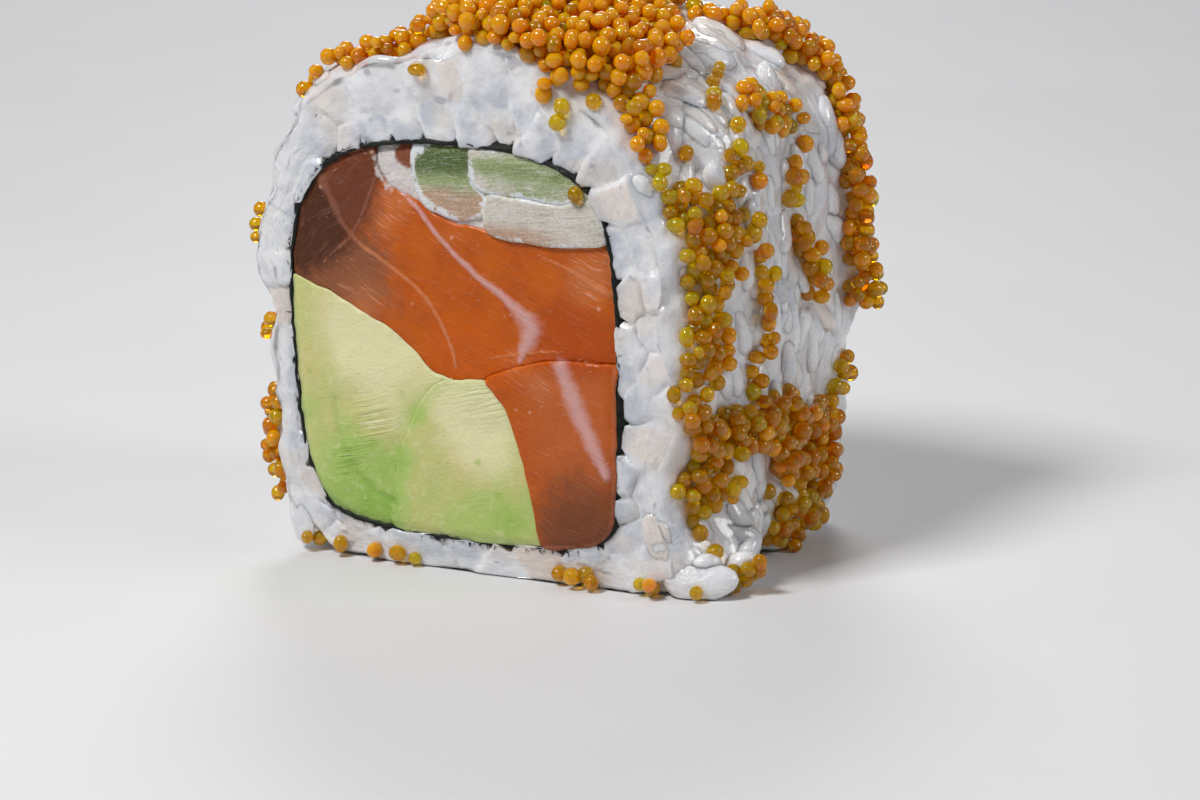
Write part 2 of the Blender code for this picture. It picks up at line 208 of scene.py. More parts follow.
class RiceSettings(bpy.types.PropertyGroup):
    grain_length: length("Grain length", "Mean length of a cooked grain", 5.8)
    grain_width: length("Grain width", "Mean width of a cooked grain", 2.7)
    relief: length("Relief", "How deep the cut grains' relief is", 0.65)
    pale: colour("Pale grains", "Colour of the white grains", 0.82, 0.82, 0.82)
    cold: colour("Glassy grains", "Colour of the clearer, colder grains", 0.50, 0.53, 0.60)
    warm: colour("Warm grains", "Colour of the few tan grains", 0.74, 0.60, 0.50)


class RoeSettings(bpy.types.PropertyGroup):
    egg_diameter: length("Egg diameter", "Mean diameter of one egg", 1.48)
    orange: colour("Orange eggs", "Colour of the cloudy eggs of the top heap", 1.0, 0.42, 0.001)
    tangerine: colour("Clear orange eggs", "Colour of the clear eggs lower down", 1.0, 0.50, 0.002)
    gold: colour("Golden eggs", "Colour of the yellower eggs", 1.0, 0.66, 0.003)
    amber: colour("Amber eggs", "Colour of the darker eggs", 1.0, 0.55, 0.002)
    seed: IntProperty(name="Seed", description="Start of the random placing", default=11)


class FillingSettings(bpy.types.PropertyGroup):
    flesh: colour("Salmon flesh", "Main colour of the salmon", 0.56, 0.114, 0.002)
    dark_flesh: colour("Dark flesh", "Colour of the brown muscle", 0.085, 0.024, 0.009)
    fat: colour("Salmon fat", "Colour of the veins", 0.66, 0.40, 0.39)
    avocado: colour("Avocado", "Pale inner flesh", 0.76, 0.72, 0.42)
    avocado_rim: colour("Avocado rim", "Green outer flesh", 0.27, 0.45, 0.075)
    cucumber: colour("Cucumber", "Pale inner flesh", 0.70, 0.64, 0.60)
    cucumber_rim: colour("Cucumber rim", "Green outer flesh", 0.058, 0.108, 0.003)
    cream: colour("Cream cheese", "Colour of the soft cheese", 0.68, 0.63, 0.60)


class NoriSettings(bpy.types.PropertyGroup):
    crinkle: length("Crinkle", "How far the wrapper's cut edge wanders", 0.16)
    sheet: colour("Nori", "Colour of the wrapper", 0.004, 0.006, 0.005)


class StageSettings(bpy.types.PropertyGroup):
    floor: colour("Floor", "Colour of the floor", 0.70, 0.70, 0.71)
    key_power: FloatProperty(name="Key light", description="Power of the main light", unit="POWER", default=3.4)
    fill_power: FloatProperty(name="Fill light", description="Power of the side light", unit="POWER", default=1.1)


# ---------------------------------------------------------------- numbers

def corner_value(corner, seed):
    """A fixed value from -1 to 1 for each whole-numbered corner."""
    mixed = corner[..., 0] * 73856093 ^ corner[..., 1] * 19349663 ^ corner[..., 2] * 83492791 ^ seed * 39916801
    mixed = (mixed ^ mixed >> 13) * 1274126177 & 0xFFFFFFFF
    mixed ^= mixed >> 15
    return mixed % 65536 / 32768.0 - 1.0


def lumps(points, size, seed=0):
    """Smooth noise from -1 to 1 at (n, 3) points, with lumps of the given size."""
    scaled = points / size
    low = np.floor(scaled).astype(np.int64)
    part = scaled - low
    part = part * part * (3.0 - 2.0 * part)
    total = np.zeros(len(points))
    for corner in np.ndindex(2, 2, 2):
        weight = np.prod(np.where(corner, part, 1.0 - part), axis=1)
        total += weight * corner_value(low + np.array(corner), seed)
    return total


def flat_lumps(points, size, seed=0):
    """The same noise at (n, 2) section points."""
    return lumps(np.column_stack([points, np.full(len(points), 0.37)]), size, seed)


def smooth_step(low, high, values):
    part = np.clip((values - low) / (high - low), 0.0, 1.0)
    return part * part * (3.0 - 2.0 * part)


def spots(points, places):
    """The summed strength at section points of round soft spots."""
    total = np.zeros(len(points))
    for x, z, reach, strength in places:
        total += strength * np.exp(-((points[:, 0] - x) ** 2 + (points[:, 1] - z) ** 2) / reach ** 2)
    return total


def smooth_line(points, steps=6):
    """A smooth open curve through rows of numbers."""
    rows = np.array([points[0], *points, points[-1]], float)
    curve = []
    for before, start, end, after in zip(rows, rows[1:], rows[2:], rows[3:]):
        for t in np.arange(steps) / steps:
            curve.append(0.5 * (2 * start + (end - before) * t + (2 * before - 5 * start + 4 * end - after) * t ** 2
                                + (3 * start - before - 3 * end + after) * t ** 3))
    return np.array([*curve, rows[-1]])


def to_segments(points, starts, ends):
    """For each section point: distances to all segments, and how far along each the nearest place is."""
    run = ends - starts
    away = points[:, None, :] - starts[None]
    along = np.clip((away * run).sum(2) / np.maximum((run ** 2).sum(1), 1e-12), 0.0, 1.0)
    return np.linalg.norm(away - along[..., None] * run, axis=2), along


def line_distance(points, line):
    """Distance to a smooth line through (x, z, half-width) rows, in half-widths."""
    curve = smooth_line(line)
    distance, along = to_segments(points, curve[:-1, :2], curve[1:, :2])
    width = curve[:-1, 2] + along * (curve[1:, 2] - curve[:-1, 2])
    return (distance / np.maximum(width, 0.02)).min(1)


def side_distance(points, line):
    """Signed distance to an open line: positive to the right of its run."""
    curve = smooth_line(line)
    distance, _ = to_segments(points, curve[:-1], curve[1:])
    nearest = distance.argmin(1)
    run = (curve[1:] - curve[:-1])[nearest]
    away = points - curve[nearest]
    turn = run[:, 0] * away[:, 1] - run[:, 1] * away[:, 0]
    return np.where(turn < 0, 1.0, -1.0) * distance.min(1)


# ---------------------------------------------------------------- outlines

def outlines(node, y):
    """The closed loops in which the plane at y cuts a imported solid, largest first. Each is anticlockwise and
    starts at its leftmost point."""
    work = bmesh.new()
    work.from_mesh(frame["nodes"][node].data)
    bmesh.ops.remove_doubles(work, verts=work.verts, dist=1e-6)
    everything = [*work.verts, *work.edges, *work.faces]
    cut = bmesh.ops.bisect_plane(work, geom=everything, plane_co=(0, y * MM, 0), plane_no=(0, 1, 0))["geom_cut"]
    left = {element for element in cut if isinstance(element, bmesh.types.BMEdge)}
    loops = []
    while left:
        edge = left.pop()
        first, here = edge.verts
        loop = [here]
        while here is not first:
            edge = next(other for other in here.link_edges if other in left)
            left.remove(edge)
            here = edge.other_vert(here)
            loop.append(here)
        loops.append(np.array([(vert.co.x, vert.co.z) for vert in loop]) / MM)
    work.free()
    loops = [loop if area(loop) > 0 else loop[::-1] for loop in loops]
    loops = [np.roll(loop, -np.lexsort((loop[:, 1], loop[:, 0]))[0], axis=0) for loop in loops]
    return sorted(loops, key=area, reverse=True)


def area(loop):
    following = np.roll(loop, -1, axis=0)
    return float((loop[:, 0] * following[:, 1] - following[:, 0] * loop[:, 1]).sum() / 2)


def respaced(loop, step):
    """The closed loop with points at even spacing."""
    closed = np.vstack([loop, loop[:1]])
    travelled = np.concatenate([[0.0], np.cumsum(np.linalg.norm(np.diff(closed, axis=0), axis=1))])
    count = max(12, round(travelled[-1] / step))
    places = np.arange(count) / count * travelled[-1]
    return np.column_stack([np.interp(places, travelled, closed[:, axis]) for axis in (0, 1)])


def softened(loop, rounds):
    for _ in range(rounds):
        loop = (np.roll(loop, 1, axis=0) + 2 * loop + np.roll(loop, -1, axis=0)) / 4
    return loop


def outset(loop, distance):
    """The anticlockwise loop moved outwards, by one distance or one for each point."""
    run = np.roll(loop, -1, axis=0) - np.roll(loop, 1, axis=0)
    run /= np.linalg.norm(run, axis=1)[:, None]
    return loop + distance * np.column_stack([run[:, 1], -run[:, 0]])


def wander(points):
    """Section points moved by one shared uneven field, so that neighbours still meet."""
    moved = np.array(points, float)
    moved[:, 0] += 0.13 * flat_lumps(points, 1.5, 3) + 0.06 * flat_lumps(points, 0.6, 4)
    moved[:, 1] += 0.13 * flat_lumps(points, 1.5, 5) + 0.06 * flat_lumps(points, 0.6, 6)
    return moved


def inside(points, loop):
    """Which section points lie inside the loop."""
    following = np.roll(loop, -1, axis=0)
    spans = (loop[None, :, 1] > points[:, 1:]) != (following[None, :, 1] > points[:, 1:])
    with np.errstate(divide="ignore", invalid="ignore"):
        crossing = loop[:, 0] + (points[:, 1:] - loop[:, 1]) * (following - loop)[:, 0] / (following - loop)[:, 1]
    return (spans & (points[:, :1] < crossing)).sum(1) % 2 == 1


def polar_radius(loop, angles):
    """The loop's distance from the roll's axis in each direction."""
    away = loop - (0.0, ROLL_MIDDLE)
    around = np.arctan2(away[:, 1], away[:, 0])
    order = np.argsort(around)
    return np.interp(angles, around[order], np.linalg.norm(away, axis=1)[order], period=2 * math.pi)


# ---------------------------------------------------------------- meshes

def new_piece(name, vertices, faces, material, values=None):
    """A smooth mesh object from millimetre vertices, with named values: one number or three per vertex."""
    mesh = bpy.data.meshes.new(name)
    mesh.from_pydata((np.asarray(vertices) * MM).tolist(), [], faces if isinstance(faces, list) else faces.tolist())
    mesh.validate()
    mesh.shade_smooth()
    for value_name, numbers in (values or {}).items():
        numbers = np.asarray(numbers, np.float32)
        kind, field = ("FLOAT", "value") if numbers.ndim == 1 else ("FLOAT_VECTOR", "vector")
        mesh.attributes.new(value_name, kind, "POINT").data.foreach_set(field, numbers.ravel())
    mesh.materials.append(material)
    piece = bpy.data.objects.new(name, mesh)
    bpy.context.scene.collection.objects.link(piece)
    return piece


def stands_for(piece, slot, *nodes):
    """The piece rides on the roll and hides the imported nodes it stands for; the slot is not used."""
    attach(piece, "root")
    if nodes:
        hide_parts(*nodes)


def meshed_cap(rim, seed):
    """Points and triangles that fill the rim, and the order in which the rim's points come."""
    rng = np.random.default_rng(seed)
    low, high = rim.min(0), rim.max(0)
    rows = np.arange(low[1], high[1], CAP_STEP * 0.87)
    grid = [(x + (index % 2) * CAP_STEP / 2, z) for index, z in enumerate(rows)
            for x in np.arange(low[0], high[0], CAP_STEP)]
    grid = np.array(grid) + rng.uniform(-0.2, 0.2, (len(grid), 2)) * CAP_STEP
    grid = grid[inside(grid, rim)]
    distance, _ = to_segments(grid, rim, np.roll(rim, -1, axis=0))
    grid = grid[distance.min(1) > CAP_STEP * 0.55]
    given = [Vector(point) for point in np.vstack([rim, grid])]
    ring = list(range(len(rim)))
    made = geometry.delaunay_2d_cdt(given, [], [ring], 1, 1e-5)
    points = np.array([tuple(point) for point in made[0]])
    place = {origin: index for index, origins in enumerate(made[3]) for origin in origins}
    return points, [tuple(face) for face in made[2]], [place[index] for index in ring if index in place]


def nori_distance(points):
    """How far section points are from the nori's inner side."""
    wrapper = min(outlines("nori", 0.0), key=area)
    return to_segments(points, wrapper, np.roll(wrapper, -1, axis=0))[0].min(1)


def filling_rim(node, grow):
    """The edge of a filling's cut face: it meets its neighbours, and grows further where the nori holds it
    and at the given spots."""
    rim = softened(respaced(outlines(node, 0.0)[0], CAP_STEP), 2)
    rim = outset(rim, (TOUCH + spots(rim, grow))[:, None])
    held = smooth_step(0.55, 0.2, nori_distance(rim))
    run = np.roll(rim, -1, axis=0) - np.roll(rim, 1, axis=0)
    run /= np.linalg.norm(run, axis=1)[:, None]
    return wander(rim + (WRAP * held)[:, None] * np.column_stack([run[:, 1], -run[:, 0]]))


def filling(node, name, slot, material, features, seed, grow=(), lip=0.10):
    """One strip of filling: two cut faces with relief, joined by a wall through the roll.
    features(points, edge, held, side) gives the face's height in millimetres and its named values; the lip is
    how far the face falls at its very edge."""
    rim = filling_rim(node, grow)
    points, triangles, ring = meshed_cap(rim, seed)
    edge = to_segments(points, rim, np.roll(rim, -1, axis=0))[0].min(1)
    held = nori_distance(points)
    drop = EDGE_DROP * np.exp(-(held / 0.45) ** 2) + lip * np.exp(-(edge / 0.12) ** 2)
    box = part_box(node)
    vertices, values, faces = [], {}, []
    for side, y in ((-1, box[0].y / MM), (1, box[1].y / MM)):
        height, named = features(points, edge, held, side)
        vertices.append(np.column_stack([points[:, 0], y + side * (height - drop), points[:, 1]]))
        for key, numbers in named.items():
            values.setdefault(key, []).append(numbers)
    count = len(points)
    faces += [tuple(face) for face in triangles]
    faces += [tuple(count + index for index in reversed(face)) for face in triangles]
    rings = [ring]
    total = 2 * count
    for y in WALL_STATIONS:
        vertices.append(np.column_stack([points[ring, 0], np.full(len(ring), y), points[ring, 1]]))
        for key in values:
            values[key].append(values[key][0][ring])
        rings.append(list(range(total, total + len(ring))))
        total += len(ring)
    rings.append([count + index for index in ring])
    for near, far in zip(rings, rings[1:]):
        faces += [(near[index - 1], far[index - 1], far[index], near[index]) for index in range(len(ring))]
    work = new_piece(name, np.vstack(vertices), faces, material,
                     {key: np.concatenate(parts) for key, parts in values.items()})
    face_outwards(work)
    stands_for(work, slot, node)


def face_outwards(piece):
    work = bmesh.new()
    work.from_mesh(piece.data)
    bmesh.ops.recalc_face_normals(work, faces=work.faces)
    work.to_mesh(piece.data)
    work.free()


# ---------------------------------------------------------------- shader wiring

def wire(tree, socket, value):
    if isinstance(value, bpy.types.NodeSocket):
        tree.links.new(value, socket)
    else:
        socket.default_value = value


def add(tree, kind, inputs=None, **settings):
    """A new shader node with its settings made and its inputs set or linked."""
    node = tree.nodes.new(kind)
    for name, value in settings.items():
        setattr(node, name, value)
    for name, value in (inputs or {}).items():
        wire(tree, node.inputs[name], value)
    return node


def sums(tree, operation, first, second=0.0, clamp=False):
    return add(tree, "ShaderNodeMath", {0: first, 1: second}, operation=operation, use_clamp=clamp).outputs[0]


def mixed(tree, factor, first, second):
    """A colour between two colours."""
    return add(tree, "ShaderNodeMix", {0: factor, 6: first, 7: second}, data_type="RGBA").outputs[2]


def ramped(tree, value, low, high, to_low=0.0, to_high=1.0):
    """The value brought smoothly from one range to another."""
    return add(tree, "ShaderNodeMapRange", {0: value, 1: low, 2: high, 3: to_low, 4: to_high},
               interpolation_type="SMOOTHSTEP").outputs[0]


def noisy(tree, where, size, detail=2.0, distortion=0.0):
    """Noise from 0 to 1 whose lumps have the given size in millimetres."""
    return add(tree, "ShaderNodeTexNoise", {"Vector": where, "Scale": 1.0 / size, "Detail": detail,
                                            "Distortion": distortion}).outputs["Fac"]


def value_of(tree, name):
    """A mesh's named value."""
    return add(tree, "ShaderNodeAttribute", attribute_name=name).outputs["Fac"]


def millimetres(tree):
    """The place on the object, in millimetres."""
    place = add(tree, "ShaderNodeTexCoord").outputs["Object"]
    return add(tree, "ShaderNodeVectorMath", {0: place, 3: 1.0 / MM}, operation="SCALE").outputs[0]


def shader_group(name, inputs, outputs, build):
    """A shader node group, built once: build(tree, inputs) returns its outputs in order."""
    known = bpy.data.node_groups.get(name)
    if known:
        return known
    tree = bpy.data.node_groups.new(name, "ShaderNodeTree")
    for socket_name, kind, default in inputs:
        tree.interface.new_socket(socket_name, in_out="INPUT", socket_type=kind).default_value = default
    for socket_name, kind in outputs:
        tree.interface.new_socket(socket_name, in_out="OUTPUT", socket_type=kind)
    given = tree.nodes.new("NodeGroupInput")
    results = build(tree, {socket.name: socket for socket in given.outputs if socket.name})
    taken = tree.nodes.new("NodeGroupOutput")
    for socket, result in zip(taken.inputs, results):
        tree.links.new(result, socket)
    return tree


def use_group(tree, group, **inputs):
    node = tree.nodes.new("ShaderNodeGroup")
    node.node_tree = group
    for name, value in inputs.items():
        wire(tree, node.inputs[name.replace("_", " ")], value)
    return node.outputs


FLOAT, COLOUR = "NodeSocketFloat", "NodeSocketColor"


def moist_film():
    """A wet film: fine pits and soft swells in its height, and a roughness that comes and goes."""
    def build(tree, given):
        place = millimetres(tree)
        scaled = add(tree, "ShaderNodeVectorMath", {0: place, 3: given["Fineness"]}, operation="SCALE").outputs[0]
        fine = noisy(tree, scaled, 0.35, 3.0)
        soft = noisy(tree, scaled, 1.6, 2.0)
        height = sums(tree, "ADD", sums(tree, "MULTIPLY", fine, given["Pits"]),
                      sums(tree, "MULTIPLY", soft, given["Swell"]))
        rough = ramped(tree, noisy(tree, place, 2.2, 2.0), 0.35, 0.68)
        spread = sums(tree, "SUBTRACT", given["Dry"], given["Wet"])
        return height, sums(tree, "ADD", given["Wet"], sums(tree, "MULTIPLY", rough, spread))
    return shader_group("moist film", [("Fineness", FLOAT, 1.0), ("Pits", FLOAT, 0.5), ("Swell", FLOAT, 0.5),
                                       ("Wet", FLOAT, 0.2), ("Dry", FLOAT, 0.5)],
                        [("Height", FLOAT), ("Roughness", FLOAT)], build)


def fibres():
    """Fine threads that run along one slanting direction of the section."""
    def build(tree, given):
        turned = add(tree, "ShaderNodeVectorRotate", {"Vector": millimetres(tree), "Angle": given["Slant"]},
                     rotation_type="Y_AXIS").outputs[0]
        bent = add(tree, "ShaderNodeTexNoise", {"Vector": turned, "Scale": 0.35, "Detail": 1.0}).outputs["Fac"]
        parts = add(tree, "ShaderNodeSeparateXYZ", {0: turned})
        across = sums(tree, "ADD", parts.outputs[2], sums(tree, "MULTIPLY", bent, given["Bend"]))
        stretched = add(tree, "ShaderNodeCombineXYZ",
                        {0: sums(tree, "DIVIDE", parts.outputs[0], given["Length"]),
                         1: sums(tree, "MULTIPLY", parts.outputs[1], 0.3),
                         2: sums(tree, "DIVIDE", across, given["Width"])}).outputs[0]
        return [add(tree, "ShaderNodeTexNoise", {"Vector": stretched, "Scale": 1.0, "Detail": 2.0,
                                                 "Roughness": 0.55}).outputs["Fac"]]
    return shader_group("fibres", [("Slant", FLOAT, 0.0), ("Bend", FLOAT, 1.0), ("Length", FLOAT, 3.0),
                                   ("Width", FLOAT, 0.3)], [("Thread", FLOAT)], build)


def patchy():
    """A colour that drifts between two tones in soft patches."""
    def build(tree, given):
        place = millimetres(tree)
        scaled = add(tree, "ShaderNodeVectorMath", {0: place, 3: sums(tree, "DIVIDE", 1.0, given["Size"])},
                     operation="SCALE").outputs[0]
        cloud = add(tree, "ShaderNodeTexNoise", {"Vector": scaled, "Scale": 1.0, "Detail": 3.0}).outputs["Fac"]
        mask = ramped(tree, cloud, 0.32, 0.68)
        return mixed(tree, mask, given["First"], given["Second"]), mask
    return shader_group("patchy", [("First", COLOUR, (1, 1, 1, 1)), ("Second", COLOUR, (0, 0, 0, 1)),
                                   ("Size", FLOAT, 2.0)], [("Colour", COLOUR), ("Mask", FLOAT)], build)


def specks():
    """Small scattered dots."""
    def build(tree, given):
        cells = add(tree, "ShaderNodeTexVoronoi", {"Vector": millimetres(tree),
                                                   "Scale": sums(tree, "DIVIDE", 1.0, given["Spacing"])})
        chosen = sums(tree, "GREATER_THAN", add(tree, "ShaderNodeSeparateColor",
                                                {0: cells.outputs["Color"]}).outputs[0], given["Rarity"])
        dot = ramped(tree, cells.outputs["Distance"], 0.22, 0.08)
        return [sums(tree, "MULTIPLY", chosen, dot)]
    return shader_group("specks", [("Spacing", FLOAT, 1.0), ("Rarity", FLOAT, 0.7)], [("Dot", FLOAT)], build)


def new_material(name, **constants):
    """A material with its Principled shader's constant inputs set."""
    material = bpy.data.materials.new(name)
    material.use_nodes = True
    shader = material.node_tree.nodes["Principled BSDF"]
    for key, value in constants.items():
        shader.inputs[key.replace("_", " ")].default_value = value
    return material, material.node_tree, shader


def bumped(tree, shader, height, distance, strength=1.0):
    """The height, in the given depth in millimetres, as bumps on the shader."""
    bump = add(tree, "ShaderNodeBump", {"Height": height, "Distance": distance * MM, "Strength": strength})
    tree.links.new(bump.outputs[0], shader.inputs["Normal"])


# ---------------------------------------------------------------- materials

def salmon_material(colours):
    material, tree, shader = new_material(
        "salmon flesh", Subsurface_Weight=0.45, Subsurface_Radius=(1.0, 0.30, 0.10), Subsurface_Scale=0.7 * MM,
        Specular_IOR_Level=0.16, Coat_Weight=0.18, Coat_Roughness=0.06, IOR=1.40)
    fat, width, dark, old = (value_of(tree, name) for name in ("fat", "width", "dark", "old"))
    pale, brown, gold, edge = (value_of(tree, name) for name in ("pale", "brown", "gold", "edge"))
    deep, rosy, low = (value_of(tree, name) for name in ("deep", "rosy", "low"))
    place = millimetres(tree)
    thread = use_group(tree, fibres(), Slant=math.radians(-24), Bend=1.1, Length=2.6, Width=0.16)["Thread"]
    cross = use_group(tree, fibres(), Slant=math.radians(40), Bend=1.6, Length=2.4, Width=0.22)["Thread"]
    ragged = sums(tree, "SUBTRACT", noisy(tree, place, 1.0, 4.0), 0.5)
    flesh = use_group(tree, patchy(), First=tuple(colours.flesh), Second=(0.49, 0.088, 0.003, 1), Size=2.6)["Colour"]
    flesh = mixed(tree, ramped(tree, rosy, 0.1, 1.0), flesh, (0.52, 0.122, 0.026, 1))
    flesh = mixed(tree, ramped(tree, gold, 0.1, 1.0), flesh, (0.57, 0.104, 0.001, 1))
    flesh = mixed(tree, ramped(tree, deep, 0.1, 1.1, 0.0, 0.8), flesh, (0.45, 0.066, 0.001, 1))
    brownness = sums(tree, "ADD", brown, sums(tree, "MULTIPLY", ragged, 0.9))
    flesh = mixed(tree, ramped(tree, brownness, 0.1, 1.0), flesh, (0.27, 0.088, 0.036, 1))
    # Darker brown towards the bottom of the lower strip: painted shade
    flesh = mixed(tree, ramped(tree, sums(tree, "ADD", low, sums(tree, "MULTIPLY", ragged, 0.6)), 0.0, 1.3), flesh, (0.200, 0.060, 0.022, 1))
    flesh = mixed(tree, ramped(tree, pale, 0.05, 1.1, 0.0, 0.55), flesh, (0.60, 0.21, 0.075, 1))
    streaks = sums(tree, "MULTIPLY", ramped(tree, thread, 0.55, 0.70), ramped(tree, pale, 0.0, 1.0, 0.10, 0.75))
    flesh = mixed(tree, streaks, flesh, (0.74, 0.36, 0.24, 1))
    darkness = ramped(tree, sums(tree, "ADD", dark, sums(tree, "MULTIPLY", ragged, 2.6)), -1.8, 0.9)
    muscle = mixed(tree, ramped(tree, old, -0.5, 0.6), (0.165, 0.044, 0.017, 1), tuple(colours.dark_flesh))
    muscle = mixed(tree, ramped(tree, cross, 0.52, 0.74, 0.0, 0.30), muscle, (0.30, 0.13, 0.085, 1))
    flesh = mixed(tree, darkness, flesh, muscle)
    uneven = sums(tree, "MULTIPLY", sums(tree, "SUBTRACT", noisy(tree, place, 0.6, 3.0), 0.5),
                  ramped(tree, width, 0.25, 0.8, 1.6, 1.1))
    vein = ramped(tree, sums(tree, "ADD", fat, uneven), 1.9, 0.2)
    vein = sums(tree, "MULTIPLY", vein, ramped(tree, darkness, 0.0, 1.0, 0.85, 0.55))
    tallow = mixed(tree, ramped(tree, width, 0.2, 0.75), (0.62, 0.215, 0.085, 1), tuple(colours.fat))
    tallow = mixed(tree, darkness, tallow, (0.34, 0.135, 0.085, 1))
    flesh = mixed(tree, vein, flesh, tallow)
    torn = sums(tree, "ADD", 1.0, sums(tree, "MULTIPLY", noisy(tree, place, 0.45, 5.0), 1.8))
    smear = sums(tree, "SUBTRACT", sums(tree, "MULTIPLY", value_of(tree, "smear"), torn), 0.9)
    flesh = mixed(tree, ramped(tree, smear, 0.35, 0.85, 0.0, 0.85), flesh, tuple(colours.cream))
    # Sparse pale dots: painted highlight specks
    dots = use_group(tree, specks(), Spacing=1.3, Rarity=0.90)["Dot"]
    flesh = mixed(tree, sums(tree, "MULTIPLY", dots, 0.45), flesh, (0.85, 0.50, 0.34, 1))
    # Short pale dashes along slanting threads: painted glints, with a small bump of their own
    painted_glint_dashes = use_group(tree, fibres(), Slant=math.radians(24), Bend=1.4, Length=0.8, Width=0.15)["Thread"]
    painted_glint_dashes = sums(tree, "MULTIPLY", ramped(tree, painted_glint_dashes, 0.64, 0.72), ramped(tree, noisy(tree, place, 2.6, 3.0), 0.50, 0.66))
    flesh = mixed(tree, sums(tree, "MULTIPLY", painted_glint_dashes, 0.45), flesh, (0.88, 0.56, 0.38, 1))
    skin = mixed(tree, ramped(tree, edge, 0.35, 0.0, 0.0, 0.30), flesh, (0.60, 0.26, 0.17, 1))
    wire(tree, shader.inputs["Base Color"], skin)
    film = use_group(tree, moist_film(), Fineness=1.0, Pits=0.6, Swell=0.8, Wet=0.14, Dry=0.40)
    wire(tree, shader.inputs["Roughness"], film["Roughness"])
    grain = sums(tree, "ADD", film["Height"], sums(tree, "MULTIPLY", thread, 0.8))
    grain = sums(tree, "ADD", grain, sums(tree, "MULTIPLY", vein, 0.35))
    grain = sums(tree, "ADD", grain, sums(tree, "MULTIPLY", painted_glint_dashes, 0.6))
    bumped(tree, shader, grain, 0.14)
    return material


def avocado_material(colours):
    material, tree, shader = new_material(
        "avocado flesh", Subsurface_Weight=0.4, Subsurface_Radius=(0.9, 0.8, 0.35), Subsurface_Scale=0.6 * MM,
        Specular_IOR_Level=0.35, Coat_Weight=0.10, Coat_Roughness=0.28, IOR=1.42)
    green, dots, cream, edge = (value_of(tree, name) for name in ("green", "dots", "cream", "edge"))
    place = millimetres(tree)
    strokes = use_group(tree, fibres(), Slant=math.radians(16), Bend=0.5, Length=6.5, Width=0.34)["Thread"]
    fine = use_group(tree, fibres(), Slant=math.radians(13), Bend=0.4, Length=5.0, Width=0.13)["Thread"]
    drift = sums(tree, "MULTIPLY", sums(tree, "SUBTRACT", noisy(tree, place, 2.2, 3.0), 0.5), 0.7)
    flesh = use_group(tree, patchy(), First=(0.62, 0.56, 0.235, 1), Second=(0.56, 0.57, 0.22, 1), Size=3.4)["Colour"]
    flesh = mixed(tree, ramped(tree, sums(tree, "ADD", cream, drift), 0.2, 1.0), flesh, tuple(colours.avocado))
    # The green value is the flesh's own green plus painted shade in the fold and the seam
    depth = sums(tree, "ADD", green, drift)
    flesh = mixed(tree, ramped(tree, depth, 0.0, 0.75), flesh, (0.41, 0.55, 0.145, 1))
    flesh = mixed(tree, ramped(tree, depth, 0.55, 1.35), flesh, tuple(colours.avocado_rim))
    knife = ramped(tree, sums(tree, "ADD", value_of(tree, "stroke"), drift), 0.2, 1.1, 0.06, 1.0)
    fine, strokes = (sums(tree, "MULTIPLY", thread, knife) for thread in (fine, strokes))
    flesh = mixed(tree, ramped(tree, fine, 0.44, 0.68, 0.0, 0.65), flesh, (0.88, 0.87, 0.64, 1))
    flesh = mixed(tree, ramped(tree, noisy(tree, place, 0.8, 3.0), 0.50, 0.74, 0.0, 0.24), flesh, (0.78, 0.77, 0.50, 1))
    flesh = mixed(tree, ramped(tree, dots, 0.1, 0.9, 0.0, 0.6), flesh, (0.34, 0.47, 0.08, 1))
    rim = ramped(tree, sums(tree, "ADD", edge, sums(tree, "MULTIPLY", drift, 0.8)), 0.55, 0.0, 0.0, 0.45)
    flesh = mixed(tree, rim, flesh, (0.34, 0.46, 0.20, 1))
    wire(tree, shader.inputs["Base Color"], flesh)
    film = use_group(tree, moist_film(), Fineness=1.2, Pits=0.7, Swell=0.7, Wet=0.30, Dry=0.58)
    wire(tree, shader.inputs["Roughness"], film["Roughness"])
    grain = sums(tree, "ADD", film["Height"], sums(tree, "MULTIPLY", strokes, 1.6))
    bumped(tree, shader, sums(tree, "ADD", grain, sums(tree, "MULTIPLY", fine, 1.1)), 0.13)
    return material


